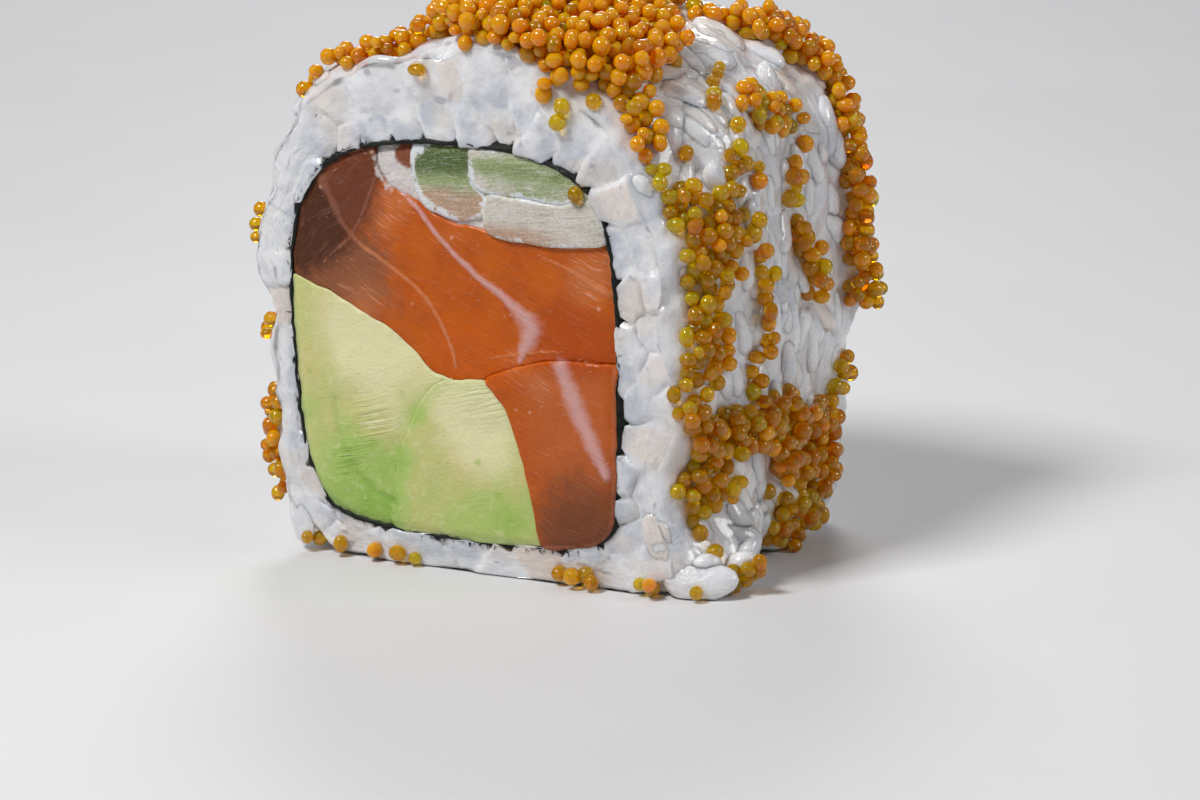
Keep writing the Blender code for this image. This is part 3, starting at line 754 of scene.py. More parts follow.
def cucumber_material(colours):
    material, tree, shader = new_material(
        "cucumber flesh", Subsurface_Weight=0.6, Subsurface_Radius=(0.9, 0.9, 0.6), Subsurface_Scale=1.0 * MM,
        Coat_Weight=0.3, Coat_Roughness=0.15, IOR=1.38)
    green, white, pink = value_of(tree, "green"), value_of(tree, "white"), value_of(tree, "pink")
    place = millimetres(tree)
    lines = use_group(tree, fibres(), Slant=math.radians(7), Bend=0.6, Length=2.4, Width=0.17)["Thread"]
    flesh = use_group(tree, patchy(), First=tuple(colours.cucumber), Second=(0.60, 0.56, 0.49, 1), Size=1.6)["Colour"]
    flesh = mixed(tree, ramped(tree, pink, 0.1, 1.0, 0.0, 0.8), flesh, (0.47, 0.25, 0.145, 1))
    wavy = sums(tree, "MULTIPLY", sums(tree, "SUBTRACT", noisy(tree, place, 1.1, 4.0), 0.5), 0.9)
    depth = sums(tree, "ADD", green, wavy)
    flesh = mixed(tree, ramped(tree, depth, 0.0, 0.7), flesh, (0.30, 0.37, 0.16, 1))
    flesh = mixed(tree, ramped(tree, depth, 0.6, 1.5), flesh, tuple(colours.cucumber_rim))
    flesh = mixed(tree, ramped(tree, lines, 0.52, 0.74, 0.0, 0.45), flesh, (0.76, 0.78, 0.70, 1))
    flesh = mixed(tree, ramped(tree, lines, 0.48, 0.26, 0.0, 0.45), flesh, (0.25, 0.28, 0.16, 1))
    grit = noisy(tree, place, 0.24, 3.0)
    flesh = mixed(tree, ramped(tree, grit, 0.48, 0.72, 0.0, 0.24), flesh, (0.70, 0.70, 0.58, 1))
    flesh = mixed(tree, ramped(tree, grit, 0.50, 0.30, 0.0, 0.34), flesh, (0.26, 0.27, 0.15, 1))
    torn = sums(tree, "ADD", -0.5, sums(tree, "MULTIPLY", noisy(tree, place, 0.45, 5.0), 3.0))
    rim = sums(tree, "MULTIPLY", white, torn)
    flesh = mixed(tree, ramped(tree, rim, 0.30, 0.75, 0.0, 0.9), flesh, (0.76, 0.78, 0.80, 1))
    wire(tree, shader.inputs["Base Color"], flesh)
    film = use_group(tree, moist_film(), Fineness=1.6, Pits=0.7, Swell=0.5, Wet=0.16, Dry=0.40)
    wire(tree, shader.inputs["Roughness"], film["Roughness"])
    grain = sums(tree, "ADD", film["Height"], sums(tree, "ADD", sums(tree, "MULTIPLY", lines, 0.8), grit))
    bumped(tree, shader, grain, 0.11)
    return material


def cream_material(colours):
    material, tree, shader = new_material(
        "cream cheese", Subsurface_Weight=0.5, Subsurface_Radius=(1.0, 0.9, 0.8), Subsurface_Scale=0.8 * MM,
        Coat_Weight=0.15, Coat_Roughness=0.25)
    stain = value_of(tree, "stain")
    paste = use_group(tree, patchy(), First=tuple(colours.cream), Second=(0.68, 0.62, 0.63, 1), Size=1.3)["Colour"]
    ragged = sums(tree, "MULTIPLY", sums(tree, "SUBTRACT", noisy(tree, millimetres(tree), 0.7, 3.0), 0.5), 0.8)
    paste = mixed(tree, ramped(tree, sums(tree, "ADD", stain, ragged), 0.30, 0.75), paste, (0.24, 0.055, 0.012, 1))
    wire(tree, shader.inputs["Base Color"], paste)
    film = use_group(tree, moist_film(), Fineness=1.0, Pits=0.9, Swell=1.2, Wet=0.26, Dry=0.55)
    wire(tree, shader.inputs["Roughness"], film["Roughness"])
    bumped(tree, shader, film["Height"], 0.25)
    return material


def nori_material(colours):
    material, tree, shader = new_material("nori", Specular_IOR_Level=0.25, Coat_Weight=0.04, Coat_Roughness=0.3)
    sheet = use_group(tree, patchy(), First=tuple(colours.sheet), Second=(0.012, 0.015, 0.009, 1), Size=0.5)["Colour"]
    wire(tree, shader.inputs["Base Color"], sheet)
    film = use_group(tree, moist_film(), Fineness=2.0, Pits=1.0, Swell=0.6, Wet=0.38, Dry=0.70)
    wire(tree, shader.inputs["Roughness"], film["Roughness"])
    bumped(tree, shader, film["Height"], 0.12)
    return material


def rice_material(colours):
    material, tree, shader = new_material(
        "cooked rice", Subsurface_Weight=1.0, Subsurface_Radius=(1.0, 0.94, 0.90), Subsurface_Scale=0.9 * MM,
        Coat_Weight=0.8, Coat_Roughness=0.05, IOR=1.38)
    tone, clear, cut = value_of(tree, "tone"), value_of(tree, "clear"), value_of(tree, "cut")
    place = millimetres(tree)
    flow = add(tree, "ShaderNodeAttribute", attribute_name="flow").outputs["Vector"]
    wrinkle = add(tree, "ShaderNodeTexNoise", {"Vector": flow, "Scale": 1.0, "Detail": 3.0,
                                               "Distortion": 0.3}).outputs["Fac"]
    cloud = use_group(tree, patchy(), First=tuple(colours.pale), Second=(0.74, 0.75, 0.79, 1), Size=2.2)["Colour"]
    glassy = sums(tree, "MULTIPLY", clear, ramped(tree, noisy(tree, place, 2.4, 3.0), 0.25, 0.65))
    grain = mixed(tree, ramped(tree, glassy, 0.0, 1.0, 0.0, 0.8), cloud, tuple(colours.cold))
    grain = mixed(tree, ramped(tree, tone, 0.6, 1.0, 0.0, 0.6), grain, tuple(colours.warm))
    warm_drift = ramped(tree, noisy(tree, place, 5.5, 2.0), 0.50, 0.68, 0.0, 0.50)
    grain = mixed(tree, warm_drift, grain, (0.74, 0.65, 0.57, 1))
    grain = mixed(tree, ramped(tree, wrinkle, 0.52, 0.34, 0.0, 0.30), grain, (0.58, 0.58, 0.60, 1))
    # Thin dark slits on the cut faces, in colour only: painted shadow in the gaps between grains
    painted_slit_shadows = ramped(tree, noisy(tree, flow, 1.7, 1.0), 0.66, 0.76, 0.0, 0.5)
    grain = mixed(tree, sums(tree, "MULTIPLY", painted_slit_shadows, cut), grain, (0.26, 0.27, 0.30, 1))
    wire(tree, shader.inputs["Base Color"], grain)
    film = use_group(tree, moist_film(), Fineness=1.2, Pits=0.55, Swell=1.0, Wet=0.09, Dry=0.32)
    wire(tree, shader.inputs["Roughness"], film["Roughness"])
    bumped(tree, shader, sums(tree, "ADD", film["Height"], sums(tree, "MULTIPLY", wrinkle, 1.1)), 0.16)
    return material


def roe_material(name, hue, clearness):
    """Glossy, clear eggs whose tone changes from egg to egg."""
    material, tree, shader = new_material(
        name, Subsurface_Weight=1.0, Subsurface_Radius=(1.0, 0.4, 0.02), Subsurface_Scale=1.6 * MM,
        Transmission_Weight=clearness, IOR=1.38, Specular_IOR_Level=0.60, Coat_Weight=0.30, Coat_Roughness=0.02)
    tone = value_of(tree, "tone")
    deeper = tuple(part * share for part, share in zip(hue[:3], (0.95, 0.78, 0.6))) + (1,)
    skin = use_group(tree, patchy(), First=hue, Second=tuple(0.92 * part for part in hue[:3]) + (1,),
                     Size=0.5)["Colour"]
    skin = mixed(tree, ramped(tree, tone, 0.4, 1.0), skin, deeper)
    wire(tree, shader.inputs["Base Color"], skin)
    film = use_group(tree, moist_film(), Fineness=3.0, Pits=0.25, Swell=0.5, Wet=0.01, Dry=0.06)
    wire(tree, shader.inputs["Roughness"], film["Roughness"])
    bumped(tree, shader, film["Height"], 0.015)
    return material


# ---------------------------------------------------------------- the fillings' cut faces

def salmon_features(points, edge, held, side):
    moved = points + 0.12 * np.column_stack([flat_lumps(points, 1.8, 21), flat_lumps(points, 1.8, 22)])
    moved += max(side, 0) * 1.2 * np.column_stack([flat_lumps(points, 6.0, 27), flat_lumps(points, 6.0, 28)])
    each = np.array([line_distance(moved, line) for line in FAT_LINES])
    fat, nearest = each.min(0), each.argmin(0)
    width = np.array([np.mean(sorted(row[2] for row in line)[-3:]) for line in FAT_LINES])[nearest]
    height = 0.09 * flat_lumps(points, 2.6, 23 + side) + 0.03 * flat_lumps(points, 0.8, 25 + side)
    height += 0.05 * np.exp(-np.clip(fat, 0, 6) ** 2) - 0.03 * np.exp(-(np.clip(fat, 0, 9) - 2.0) ** 2)
    values = {"fat": np.clip(fat, 0, 8), "width": width, "edge": held, "dark": side_distance(moved, DARK_EDGE),
              "old": side_distance(moved, [row[:2] for row in OLD_VEIN])}
    for name, places in (("pale", SALMON_PALE), ("brown", SALMON_BROWN), ("gold", SALMON_GOLD),
                         ("deep", SALMON_DEEP), ("rosy", SALMON_ROSY), ("low", SALMON_LOW_SHADE),
                         ("smear", CREAM_SMEAR)):
        values[name] = spots(moved, places)
    return height, values


def avocado_features(points, edge, held, side):
    fold, seam = line_distance(points, AVOCADO_FOLD), line_distance(points, AVOCADO_SEAM)
    height = 0.12 * flat_lumps(points, 3.4, 31 + side) + 0.03 * flat_lumps(points, 0.9, 33 + side)
    along = points @ np.array([math.cos(math.radians(16)), math.sin(math.radians(16))])
    across = points @ np.array([-math.sin(math.radians(16)), math.cos(math.radians(16))])
    strokes = flat_lumps(np.column_stack([along / 12.0, across]), 0.42, 35 + side)
    stroked = spots(points, AVOCADO_STROKES)
    height += 0.05 * strokes * smooth_step(0.2, 1.0, stroked)
    height -= 0.16 * np.exp(-fold ** 2) + 0.05 * np.exp(-(edge / 0.9) ** 2) + 0.06 * np.exp(-(seam / 1.2) ** 2)
    height += 0.02 if points[:, 0].mean() < -6.0 else -0.02
    # Greener in the fold and along the seam between the slices: painted shade in the crease; the listed spots are the
    # flesh's own green
    green = spots(points, AVOCADO_GREEN) + 0.22 * np.exp(-(fold / 1.5) ** 2) + 0.30 * np.exp(-(seam / 1.3) ** 2)
    return height, {"green": green, "dots": spots(points, AVOCADO_DOTS), "cream": spots(points, AVOCADO_CREAM),
                    "stroke": stroked, "edge": held}


def cucumber_features(node, deep, outline, flush):
    """Features for one stick: deep and flush give the green and the pink at shares of its width and height,
    outline is the rim's whiteness."""
    low, high = (np.array(corner)[[0, 2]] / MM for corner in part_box(node))

    def features(points, edge, held, side):
        share = (points - low) / (high - low)
        height = 0.03 * flat_lumps(points, 1.2, 41 + side) + 0.02 * flat_lumps(points, 0.5, 43 + side)
        height += 0.22 * (node == "cucumber_left")
        reach = np.where(np.minimum(share[:, 0], share[:, 1]) < 0.25, 0.60, 0.30)
        white = outline * np.exp(-(edge / reach) ** 2) * (0.8 + 0.5 * flat_lumps(points, 1.4, 45))
        white += spots(points, CUCUMBER_DOLLOP) * (node == "cucumber_left")
        return height, {"green": deep(share), "white": white, "pink": flush(share)}
    return features


def cream_features(points, edge, held, side):
    height = 0.10 * flat_lumps(points, 1.4, 51 + side) + 0.05 * flat_lumps(points, 0.6, 53 + side) - 0.18
    height += 0.22 * np.exp(-((points[:, 0] + 5.4) ** 2 + (points[:, 1] - 37.6) ** 2) / 0.9 ** 2)
    return height, {"stain": spots(points, [(-7.3, 37.0, 1.0, 1.4), (-6.6, 36.2, 0.6, 0.8)])}


# ---------------------------------------------------------------- the nori

def make_nori(settings):
    """The wrapper: a closed band, thin and crinkled where it is cut, wider inside to meet the rice."""
    inner, outer = sorted(outlines("nori", 0.0), key=area)
    around = 800
    angles = np.arange(around) / around * 2 * math.pi
    inner_radius, outer_radius = polar_radius(inner, angles), polar_radius(outer, angles)
    turn = np.column_stack([np.cos(angles), np.sin(angles)]) * 20.0
    crinkle = settings.crinkle / MM
    thin = 0.5 + 0.5 * flat_lumps(turn, 1.3, 61)
    wave = crinkle * (flat_lumps(turn, 1.9, 62) + 0.5 * flat_lumps(turn, 0.6, 63))
    # (y, place between the inner and outer side, how much of the crinkle): once round the band
    profile = [(-HALF_LENGTH, -0.1, 1.0), (-HALF_LENGTH - 0.03, 0.5, 1.0), (-HALF_LENGTH, 1.0, 1.0),
               (-HALF_LENGTH + 0.5, 1.3, 0.6), (-HALF_LENGTH + 1.1, 2.0, 0.0), (-7.0, 2.0, 0.0), (7.0, 2.0, 0.0),
               (HALF_LENGTH - 1.1, 2.0, 0.0), (HALF_LENGTH - 0.5, 1.3, 0.6), (HALF_LENGTH, 1.0, 1.0),
               (HALF_LENGTH + 0.03, 0.5, 1.0), (HALF_LENGTH, -0.1, 1.0), (7.0, -0.1, 0.3), (-7.0, -0.1, 0.3)]
    vertices = []
    for y, share, amount in profile:
        thickness = (outer_radius - inner_radius) * np.where(share > 1.2, 1.0, 0.32 + 0.60 * thin)
        radius = inner_radius + thickness * share + amount * wave * 0.4
        depth = amount * crinkle * flat_lumps(turn + share, 0.8, 64) * (1 if y < 0 else -1)
        section = wander(np.column_stack([radius * np.cos(angles), ROLL_MIDDLE + radius * np.sin(angles)]))
        vertices.append(np.column_stack([section[:, 0], y + depth, section[:, 1]]))
    faces = []
    for row in range(len(profile)):
        start, following = row * around, (row + 1) % len(profile) * around
        for index in range(around):
            after = (index + 1) % around
            faces.append((start + index, start + after, following + after, following + index))
    hair_points, hair_faces = nori_hairs(outer_radius, angles)
    first = len(profile) * around
    faces += [tuple(first + index for index in face) for face in hair_faces]
    piece = new_piece("nori_wrapper", np.vstack([*vertices, hair_points]), faces, nori_material(settings))
    face_outwards(piece)
    stands_for(piece, "nori", "nori")


def nori_hairs(radius, angles):
    """Torn shreds round the cut edges, most of them at the upper left and underneath."""
    rng = np.random.default_rng(67)
    points, faces = [], []
    for _ in range(420):
        angle = rng.choice([rng.normal(2.40, 0.22), rng.normal(4.75, 0.35), rng.uniform(0, 2 * math.pi)],
                           p=[0.35, 0.35, 0.3])
        side = rng.choice([-1, 1])
        reach, width = rng.uniform(0.20, 0.60), rng.uniform(0.04, 0.10)
        start = np.interp(angle % (2 * math.pi), angles, radius) - 0.10
        outwards = np.array([math.cos(angle), 0.0, math.sin(angle)])
        around = np.array([-math.sin(angle), 0.0, math.cos(angle)])
        root = outwards * start + (0, side * (HALF_LENGTH + rng.uniform(-0.10, 0.12)), ROLL_MIDDLE)
        lean = outwards * rng.uniform(0.1, 0.8) + around * rng.normal(0, 0.9)
        lean[1] = side * rng.uniform(0, 0.35)
        tip = root + lean / np.linalg.norm(lean) * reach
        first = len(points)
        points += [root + around * width, root - around * width, root + (0, side * width, 0), tip]
        faces += [tuple(first + index for index in face) for face in ((0, 1, 3), (1, 2, 3), (2, 0, 3), (0, 2, 1))]
    return np.array(points), faces


# ---------------------------------------------------------------- the rice

AROUND = 560                # points round the roll
FACE_RINGS = 30             # rings across a cut face
LENGTH_RINGS = 58           # rings along the roll
TUNNEL_RINGS = 5
CORE_DEPTH = 0.26           # how far the core lies under the outside of the grains
GRAIN_FLATNESS = 0.74       # a grain's thickness over its width
INNER_GAP = 0.60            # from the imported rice's inner wall to the nori


def packed_rice_tree():
    work = bmesh.new()
    work.from_mesh(frame["nodes"]["rice"].data)
    bmesh.ops.remove_doubles(work, verts=work.verts, dist=1e-6)
    tree = BVHTree.FromBMesh(work)
    work.free()
    return tree


def outer_radius(tree, angles, y):
    """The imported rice's radius in each direction at y, found from outside."""
    place = min(max(y, -HALF_LENGTH + 0.01), HALF_LENGTH - 0.01)
    found = []
    for angle in angles:
        way = Vector((math.cos(angle), 0.0, math.sin(angle)))
        start = Vector((0.0, place, ROLL_MIDDLE)) * MM + way * 0.06
        hit = tree.ray_cast(start, -way)[0]
        found.append((0.06 - (hit - start).length) / MM)
    return np.array(found)


def rice_rows():
    """Rows of points round the rice: front face from its inner edge, the outside, the back face, the tunnel.
    Each point is x, y, z, then 1 on a face, 0 outside and -1 in the tunnel, then its share of the way outwards."""
    tree = packed_rice_tree()
    outer, hole = outlines("rice", 0.0)[:2]
    even = respaced(outer, np.linalg.norm(np.roll(outer, -1, axis=0) - outer, axis=1).sum() / AROUND)[:AROUND]
    angles = np.unwrap(np.arctan2(even[:, 1] - ROLL_MIDDLE, even[:, 0]))
    inner = polar_radius(hole, angles) - INNER_GAP
    rows = []
    for side in (-1, 1):
        edge = outer_radius(tree, angles, side * HALF_LENGTH) - 0.10
        ring = [(inner + (edge - inner) * step / FACE_RINGS, side * HALF_LENGTH, 1.0, step / FACE_RINGS)
                for step in range(FACE_RINGS + 1)]
        if side < 0:
            rows += ring
            rows += [(outer_radius(tree, angles, y), y, 0.0, 1.0)
                     for y in np.linspace(-HALF_LENGTH + 0.15, HALF_LENGTH - 0.15, LENGTH_RINGS)]
        else:
            rows += ring[::-1]
    rows += [(inner + 0.1, y, -1.0, 0.0) for y in np.linspace(HALF_LENGTH - 1.5, 1.5 - HALF_LENGTH, TUNNEL_RINGS)]
    made = []
    for radius, y, kind, share in rows:
        section = np.column_stack([radius * np.cos(angles), ROLL_MIDDLE + radius * np.sin(angles)])
        section += (wander(section) - section) * (1.0 - share)
        flat = np.ones(len(angles))
        made.append(np.column_stack([section[:, 0], flat * y, section[:, 1], flat * kind, flat * share]))
    return np.array(made)


def row_ways(rows):
    """Unit vectors round the roll, along the rows and outwards, at every point of the closed grid."""
    around = np.roll(rows, -1, axis=1) - np.roll(rows, 1, axis=1)
    along = np.roll(rows, -1, axis=0) - np.roll(rows, 1, axis=0)
    outwards = np.cross(along, around)
    for way in (around, outwards):
        way /= np.maximum(np.linalg.norm(way, axis=2, keepdims=True), 1e-9)
    return [way.reshape(-1, 3) for way in (around, np.cross(outwards, around), outwards)]


def spread_grains(rng, places, ways, sizes, closeness, tries):
    """Chosen places whose grains, long way and half sizes given for each place, keep clear of each other."""
    chosen, middles, runs, reaches = [], np.zeros((0, 3)), np.zeros((0, 3)), np.zeros((0, 2))
    for spot in rng.integers(0, len(places), tries):
        if len(chosen):
            away = middles - places[spot]
            near = np.linalg.norm(away, axis=1)
            for way, reach in ((ways[spot], sizes[spot]), (runs, reaches)):
                run = np.abs((away * way).sum(1))
                cross = np.sqrt(np.maximum(near ** 2 - run ** 2, 0))
                reach = np.broadcast_to(reach, (len(chosen), 2))
                blocked = (run / reach[:, 0]) ** 2 + (cross / reach[:, 1]) ** 2 < closeness ** 2
                if blocked.any():
                    break
            if blocked.any():
                continue
        chosen.append(spot)
        middles = np.vstack([middles, places[spot]])
        runs = np.vstack([runs, ways[spot]])
        reaches = np.vstack([reaches, sizes[spot]])
    return np.array(chosen)


def turned(first, second, angle):
    return np.cos(angle)[:, None] * first + np.sin(angle)[:, None] * second


def cut_cells(points, seed, settings):
    """Grains cut through on a face, at (n, 2) section points: for each point a soft height from its grain's
    level and tilt, a tone, and how near it is to a seam."""
    rng = np.random.default_rng(seed)
    away = points - (0.0, ROLL_MIDDLE)
    bearing = np.arctan2(away[:, 1], away[:, 0])
    outwards = away / np.linalg.norm(away, axis=1)[:, None]
    around = np.column_stack([-outwards[:, 1], outwards[:, 0]])
    radial = smooth_step(0.35, 0.75, np.sin(bearing))
    lean = rng.normal(0, 0.35 + 0.5 * (1 - np.abs(np.sin(bearing))), len(points)) + radial * math.pi / 2
    way = np.cos(lean)[:, None] * around + np.sin(lean)[:, None] * outwards
    half = np.array([settings.grain_length / MM * 0.46, settings.grain_width / MM * 0.68])
    sizes = half * rng.uniform(0.75, 1.25, (len(points), 1))
    flat = np.zeros(len(points))
    solid = np.column_stack([points[:, 0], flat, points[:, 1]])
    chosen = spread_grains(rng, solid, np.column_stack([way[:, 0], flat, way[:, 1]]), sizes, 1.45, 9000)
    middles, ways, sizes = points[chosen], way[chosen], sizes[chosen]
    crosses = np.column_stack([-ways[:, 1], ways[:, 0]])
    levels, tones = rng.uniform(-1, 1, len(chosen)), rng.uniform(-1, 1, len(chosen))
    tilts = rng.normal(0, 1, (len(chosen), 2))
    wavy = points + 0.35 * np.column_stack([flat_lumps(points, 1.6, seed), flat_lumps(points, 1.6, seed + 5)])
    steps = wavy[:, None, :] - middles[None]
    run, cross = (steps * ways).sum(2), (steps * crosses).sum(2)
    reach = (np.abs(run / sizes[:, 0]) ** 2.2 + np.abs(cross / sizes[:, 1]) ** 2.2) ** (1 / 2.2)
    near = np.sort(reach, axis=1)
    weight = np.exp(-7.0 * (reach - near[:, :1]))
    weight /= weight.sum(1, keepdims=True)
    level = (weight * (levels + 0.30 * (run * tilts[:, 0] + cross * tilts[:, 1]))).sum(1)
    return level, (weight * tones).sum(1), near[:, 1] - near[:, 0], near[:, 0]


def cut_face(places, share, seed, settings):
    """Relief and looks of one cut face: heights, tones, how clear the grains are, the pull from the nori."""
    points = places[:, [0, 2]]
    level, tones, gap, reach = cut_cells(points, seed, settings)
    groove = np.exp(-(gap / 0.15) ** 2)
    open_seams = smooth_step(0.1, 0.6, flat_lumps(points, 3.0, 87)) + 1.4 * (1 - share) ** 3
    fine = 0.12 * lumps(places, 1.2, 83) + 0.06 * lumps(places, 0.45, 84)
    height = settings.relief / MM * (0.34 * level - 0.14 * reach ** 2 - 0.32 * groove * open_seams + fine - 0.05)
    clear = smooth_step(0.02, 0.40, gap) * smooth_step(0.85, 0.25, share + 0.25 * tones)
    nearness = (1.0 - share) ** 6
    pull = nearness * (0.85 * np.exp(-(gap / 0.22) ** 2) + 0.14 * lumps(places, 0.9, 86) - 0.10)
    rim = 0.42 * lumps(places, 2.6, 92) + 0.16 * lumps(places, 0.9, 93) + 0.25
    return height, tones, clear, pull + smooth_step(0.72, 0.98, share) * rim


def make_rice(settings):
    """The rice: a core with the cut grains on its faces, and whole grains packed over its outside."""
    rows = rice_rows()
    kind, share = rows[..., 3].reshape(-1), rows[..., 4].reshape(-1)
    around, along, outwards = row_ways(rows[..., :3])
    places = rows[..., :3].reshape(-1, 3)
    material = rice_material(settings)
    arc = np.tile(np.arange(AROUND) * 0.25, len(rows))
    ridges = lumps(np.column_stack([arc / 3.6, share, places[:, 1] / 1.1]), 1.0, 82)
    end = smooth_step(HALF_LENGTH - 3.6, HALF_LENGTH - 0.4, np.abs(places[:, 1]))
    ragged = 0.42 * lumps(places, 2.6, 92) + 0.16 * lumps(places, 0.9, 93) + 0.10
    height = np.where(kind == 0.0, -CORE_DEPTH + 0.14 * ridges + (CORE_DEPTH + ragged) * end, 0.0)
    tone, clear = 0.8 * lumps(places, 4.0, 88), 0.5 + 0.5 * lumps(places, 3.0, 89)
    flow = np.where((kind > 0.5)[:, None], np.column_stack([arc * 0.9, share * 8.0, places[:, 1] * 0.4]),
                    np.column_stack([arc * 0.35, share, places[:, 1] * 1.5]))
    for side, seed in ((-1, 31), (1, 32)):
        on_face = np.flatnonzero((kind > 0.5) & (places[:, 1] * side > 0))
        height[on_face], tone[on_face], clear[on_face], pull = cut_face(places[on_face], share[on_face], seed, settings)
        middle = places[on_face] * (1, 0, 1) - (0, 0, ROLL_MIDDLE)
        places[on_face] += middle / np.linalg.norm(middle, axis=1)[:, None] * pull[:, None]
    way = np.where((kind > 0.5)[:, None], np.sign(places[:, 1:2]) * (0, 1, 0), outwards)
    moved = places + way * height[:, None]
    moved[:, 2] = np.maximum(moved[:, 2], 0.10)
    count, ring = rows.shape[:2]
    index = np.arange(count * ring).reshape(count, ring)
    following = np.roll(index, -1, axis=0)
    faces = np.stack([index, following, np.roll(following, -1, axis=1), np.roll(index, -1, axis=1)], axis=2)
    core = new_piece("rice_core", moved, faces.reshape(-1, 4), material,
                     {"tone": tone, "clear": clear, "cut": (kind > 0.5) * 1.0, "flow": flow})
    face_outwards(core)
    stands_for(core, "rice", "rice")
    outside = np.flatnonzero(kind == 0.0)
    loose = packed_grains(places[outside], around[outside], along[outside], outwards[outside], settings)
    for name, part in (("rice_grains_white", loose[0::2]), ("rice_grains_clear", loose[1::2])):
        grain_piece(name, part, settings, material)


def packed_grains(places, around, along, outwards, settings):
    """Whole grains side by side over the outside: middle, long way, outward way, half sizes, proud, tone."""
    rng = np.random.default_rng(5)
    half = np.array([settings.grain_length / MM / 2, settings.grain_width / MM / 2])
    slant = rng.normal(0.15, 0.38, len(places))
    ways = turned(around, along, slant)
    sizes = half * rng.uniform(0.84, 1.16, (len(places), 2))
    chosen = spread_grains(rng, places, ways, sizes, 1.28, 40000)
    grains = []
    for spot in chosen[np.abs(places[chosen, 1]) < HALF_LENGTH - 1.3]:
        end = smooth_step(HALF_LENGTH - 3.6, HALF_LENGTH - 1.0, abs(places[spot][1]))
        proud = rng.uniform(-0.24, 0.10) - 0.32 * end
        grains.append((places[spot], ways[spot], outwards[spot], sizes[spot], proud, rng.uniform(-1, 1)))
    for middle, way, up, half_length, half_width, tone in STRAY_GRAINS:
        up = np.array(up) / np.linalg.norm(up)
        way = np.array(way) - up * (np.array(way) @ up)
        size = np.array([half_length, half_width])
        proud = 0.30
        surface = np.array(middle) + up * (half_width * GRAIN_FLATNESS - proud)
        grains.append((surface, way / np.linalg.norm(way), up, size, proud, tone))
    print("grains", len(grains))
    return grains


def grain_shape():
    """Unit points and faces of one blunt grain, with more of its points on the outward (third) side."""
    ring_count, around = 14, 18
    points = [(-1.0, 0.0, 0.0)]
    for ring in range(1, ring_count):
        run = -math.cos(math.pi * ring / ring_count)
        reach = (1 - abs(run) ** 2.5) ** (1 / 2.1)
        for step in range(around):
            turn = 2 * math.pi * step / around
            turn -= 0.45 * math.sin(turn)
            points.append((run, reach * math.sin(turn), reach * math.cos(turn)))
    points.append((1.0, 0.0, 0.0))
    faces = []
    for step in range(around):
        after = (step + 1) % around
        faces.append((0, 1 + after, 1 + step))
        for ring in range(ring_count - 2):
            near, far = 1 + ring * around, 1 + (ring + 1) * around
            faces.append((near + step, near + after, far + after, far + step))
        last = 1 + (ring_count - 2) * around
        faces.append((last + step, last + after, len(points) - 1))
    return np.array(points), faces


def grain_piece(name, grains, settings, material):
    """One mesh of many whole grains, each bent, dented and pressed a little flat against the mat."""
    rng = np.random.default_rng(len(name))
    unit, unit_faces = grain_shape()
    turn = np.arctan2(unit[:, 1], unit[:, 2])
    vertices, tones, clears, flows = [], [], [], []
    for number, (surface, way, up, (half_length, half_width), proud, tone) in enumerate(grains):
        cross = np.cross(up, way)
        tilt = rng.normal(0, 0.09)
        way = way + up * tilt
        way /= np.linalg.norm(way)
        lift = np.cross(way, cross)
        bend, taper = rng.normal(0, 0.16), 1 + rng.uniform(-0.20, 0.20) * unit[:, 0]
        middle = surface + up * (proud - half_width * GRAIN_FLATNESS)
        shaped = (way * (unit[:, :1] * half_length)
                  + cross * ((unit[:, 1] * taper + bend * (1 - unit[:, 0] ** 2))[:, None] * half_width)
                  + lift * ((unit[:, 2] * taper)[:, None] * half_width * GRAIN_FLATNESS))
        shaped += middle
        dents = 0.09 * lumps(shaped, 1.5, 91) + 0.04 * lumps(shaped, 0.6, 92)
        shaped += (shaped - middle) * dents[:, None]
        above = (shaped - surface) @ up
        pressed = 0.36 * (1 - np.exp(-np.maximum(above, 0) / 0.36))
        shaped += up * np.where(above > 0, pressed - above, 0)[:, None]
        limit = HALF_LENGTH + rng.uniform(-0.25, 0.05) + rng.normal(0, 0.08) * (shaped - surface)[:, 0]
        cut = np.abs(shaped[:, 1]) > limit
        shaped[:, 1] = np.where(cut, np.sign(shaped[:, 1]) * limit, shaped[:, 1])
        shaped[:, 2] = np.maximum(shaped[:, 2], 0.02)
        vertices.append(shaped)
        tones.append(np.full(len(unit), tone))
        clears.append(np.full(len(unit), max(0.0, -tone)) * 0.7)
        flows.append(np.column_stack([unit[:, 0] * half_length * 0.9, turn * half_width * 2.4,
                                      np.full(len(unit), number * 3.7)]))
    faces = [tuple(number * len(unit) + index for index in face)
             for number in range(len(vertices)) for face in unit_faces]
    count = len(vertices) * len(unit)
    piece = new_piece(name, np.vstack(vertices), faces, material,
                      {"tone": np.concatenate(tones), "clear": np.concatenate(clears), "cut": np.zeros(count),
                       "flow": np.vstack(flows)})
    face_outwards(piece)
    stands_for(piece, "rice", "rice")


# ---------------------------------------------------------------- the roe

def surface_tree(pieces):
    """What rays find of several pieces, in metres."""
    points, faces = [], []
    for piece in pieces:
        first = len(points)
        points += [vertex.co.copy() for vertex in piece.data.vertices]
        faces += [[first + index for index in polygon.vertices] for polygon in piece.data.polygons]
    return BVHTree.FromPolygons(points, faces)


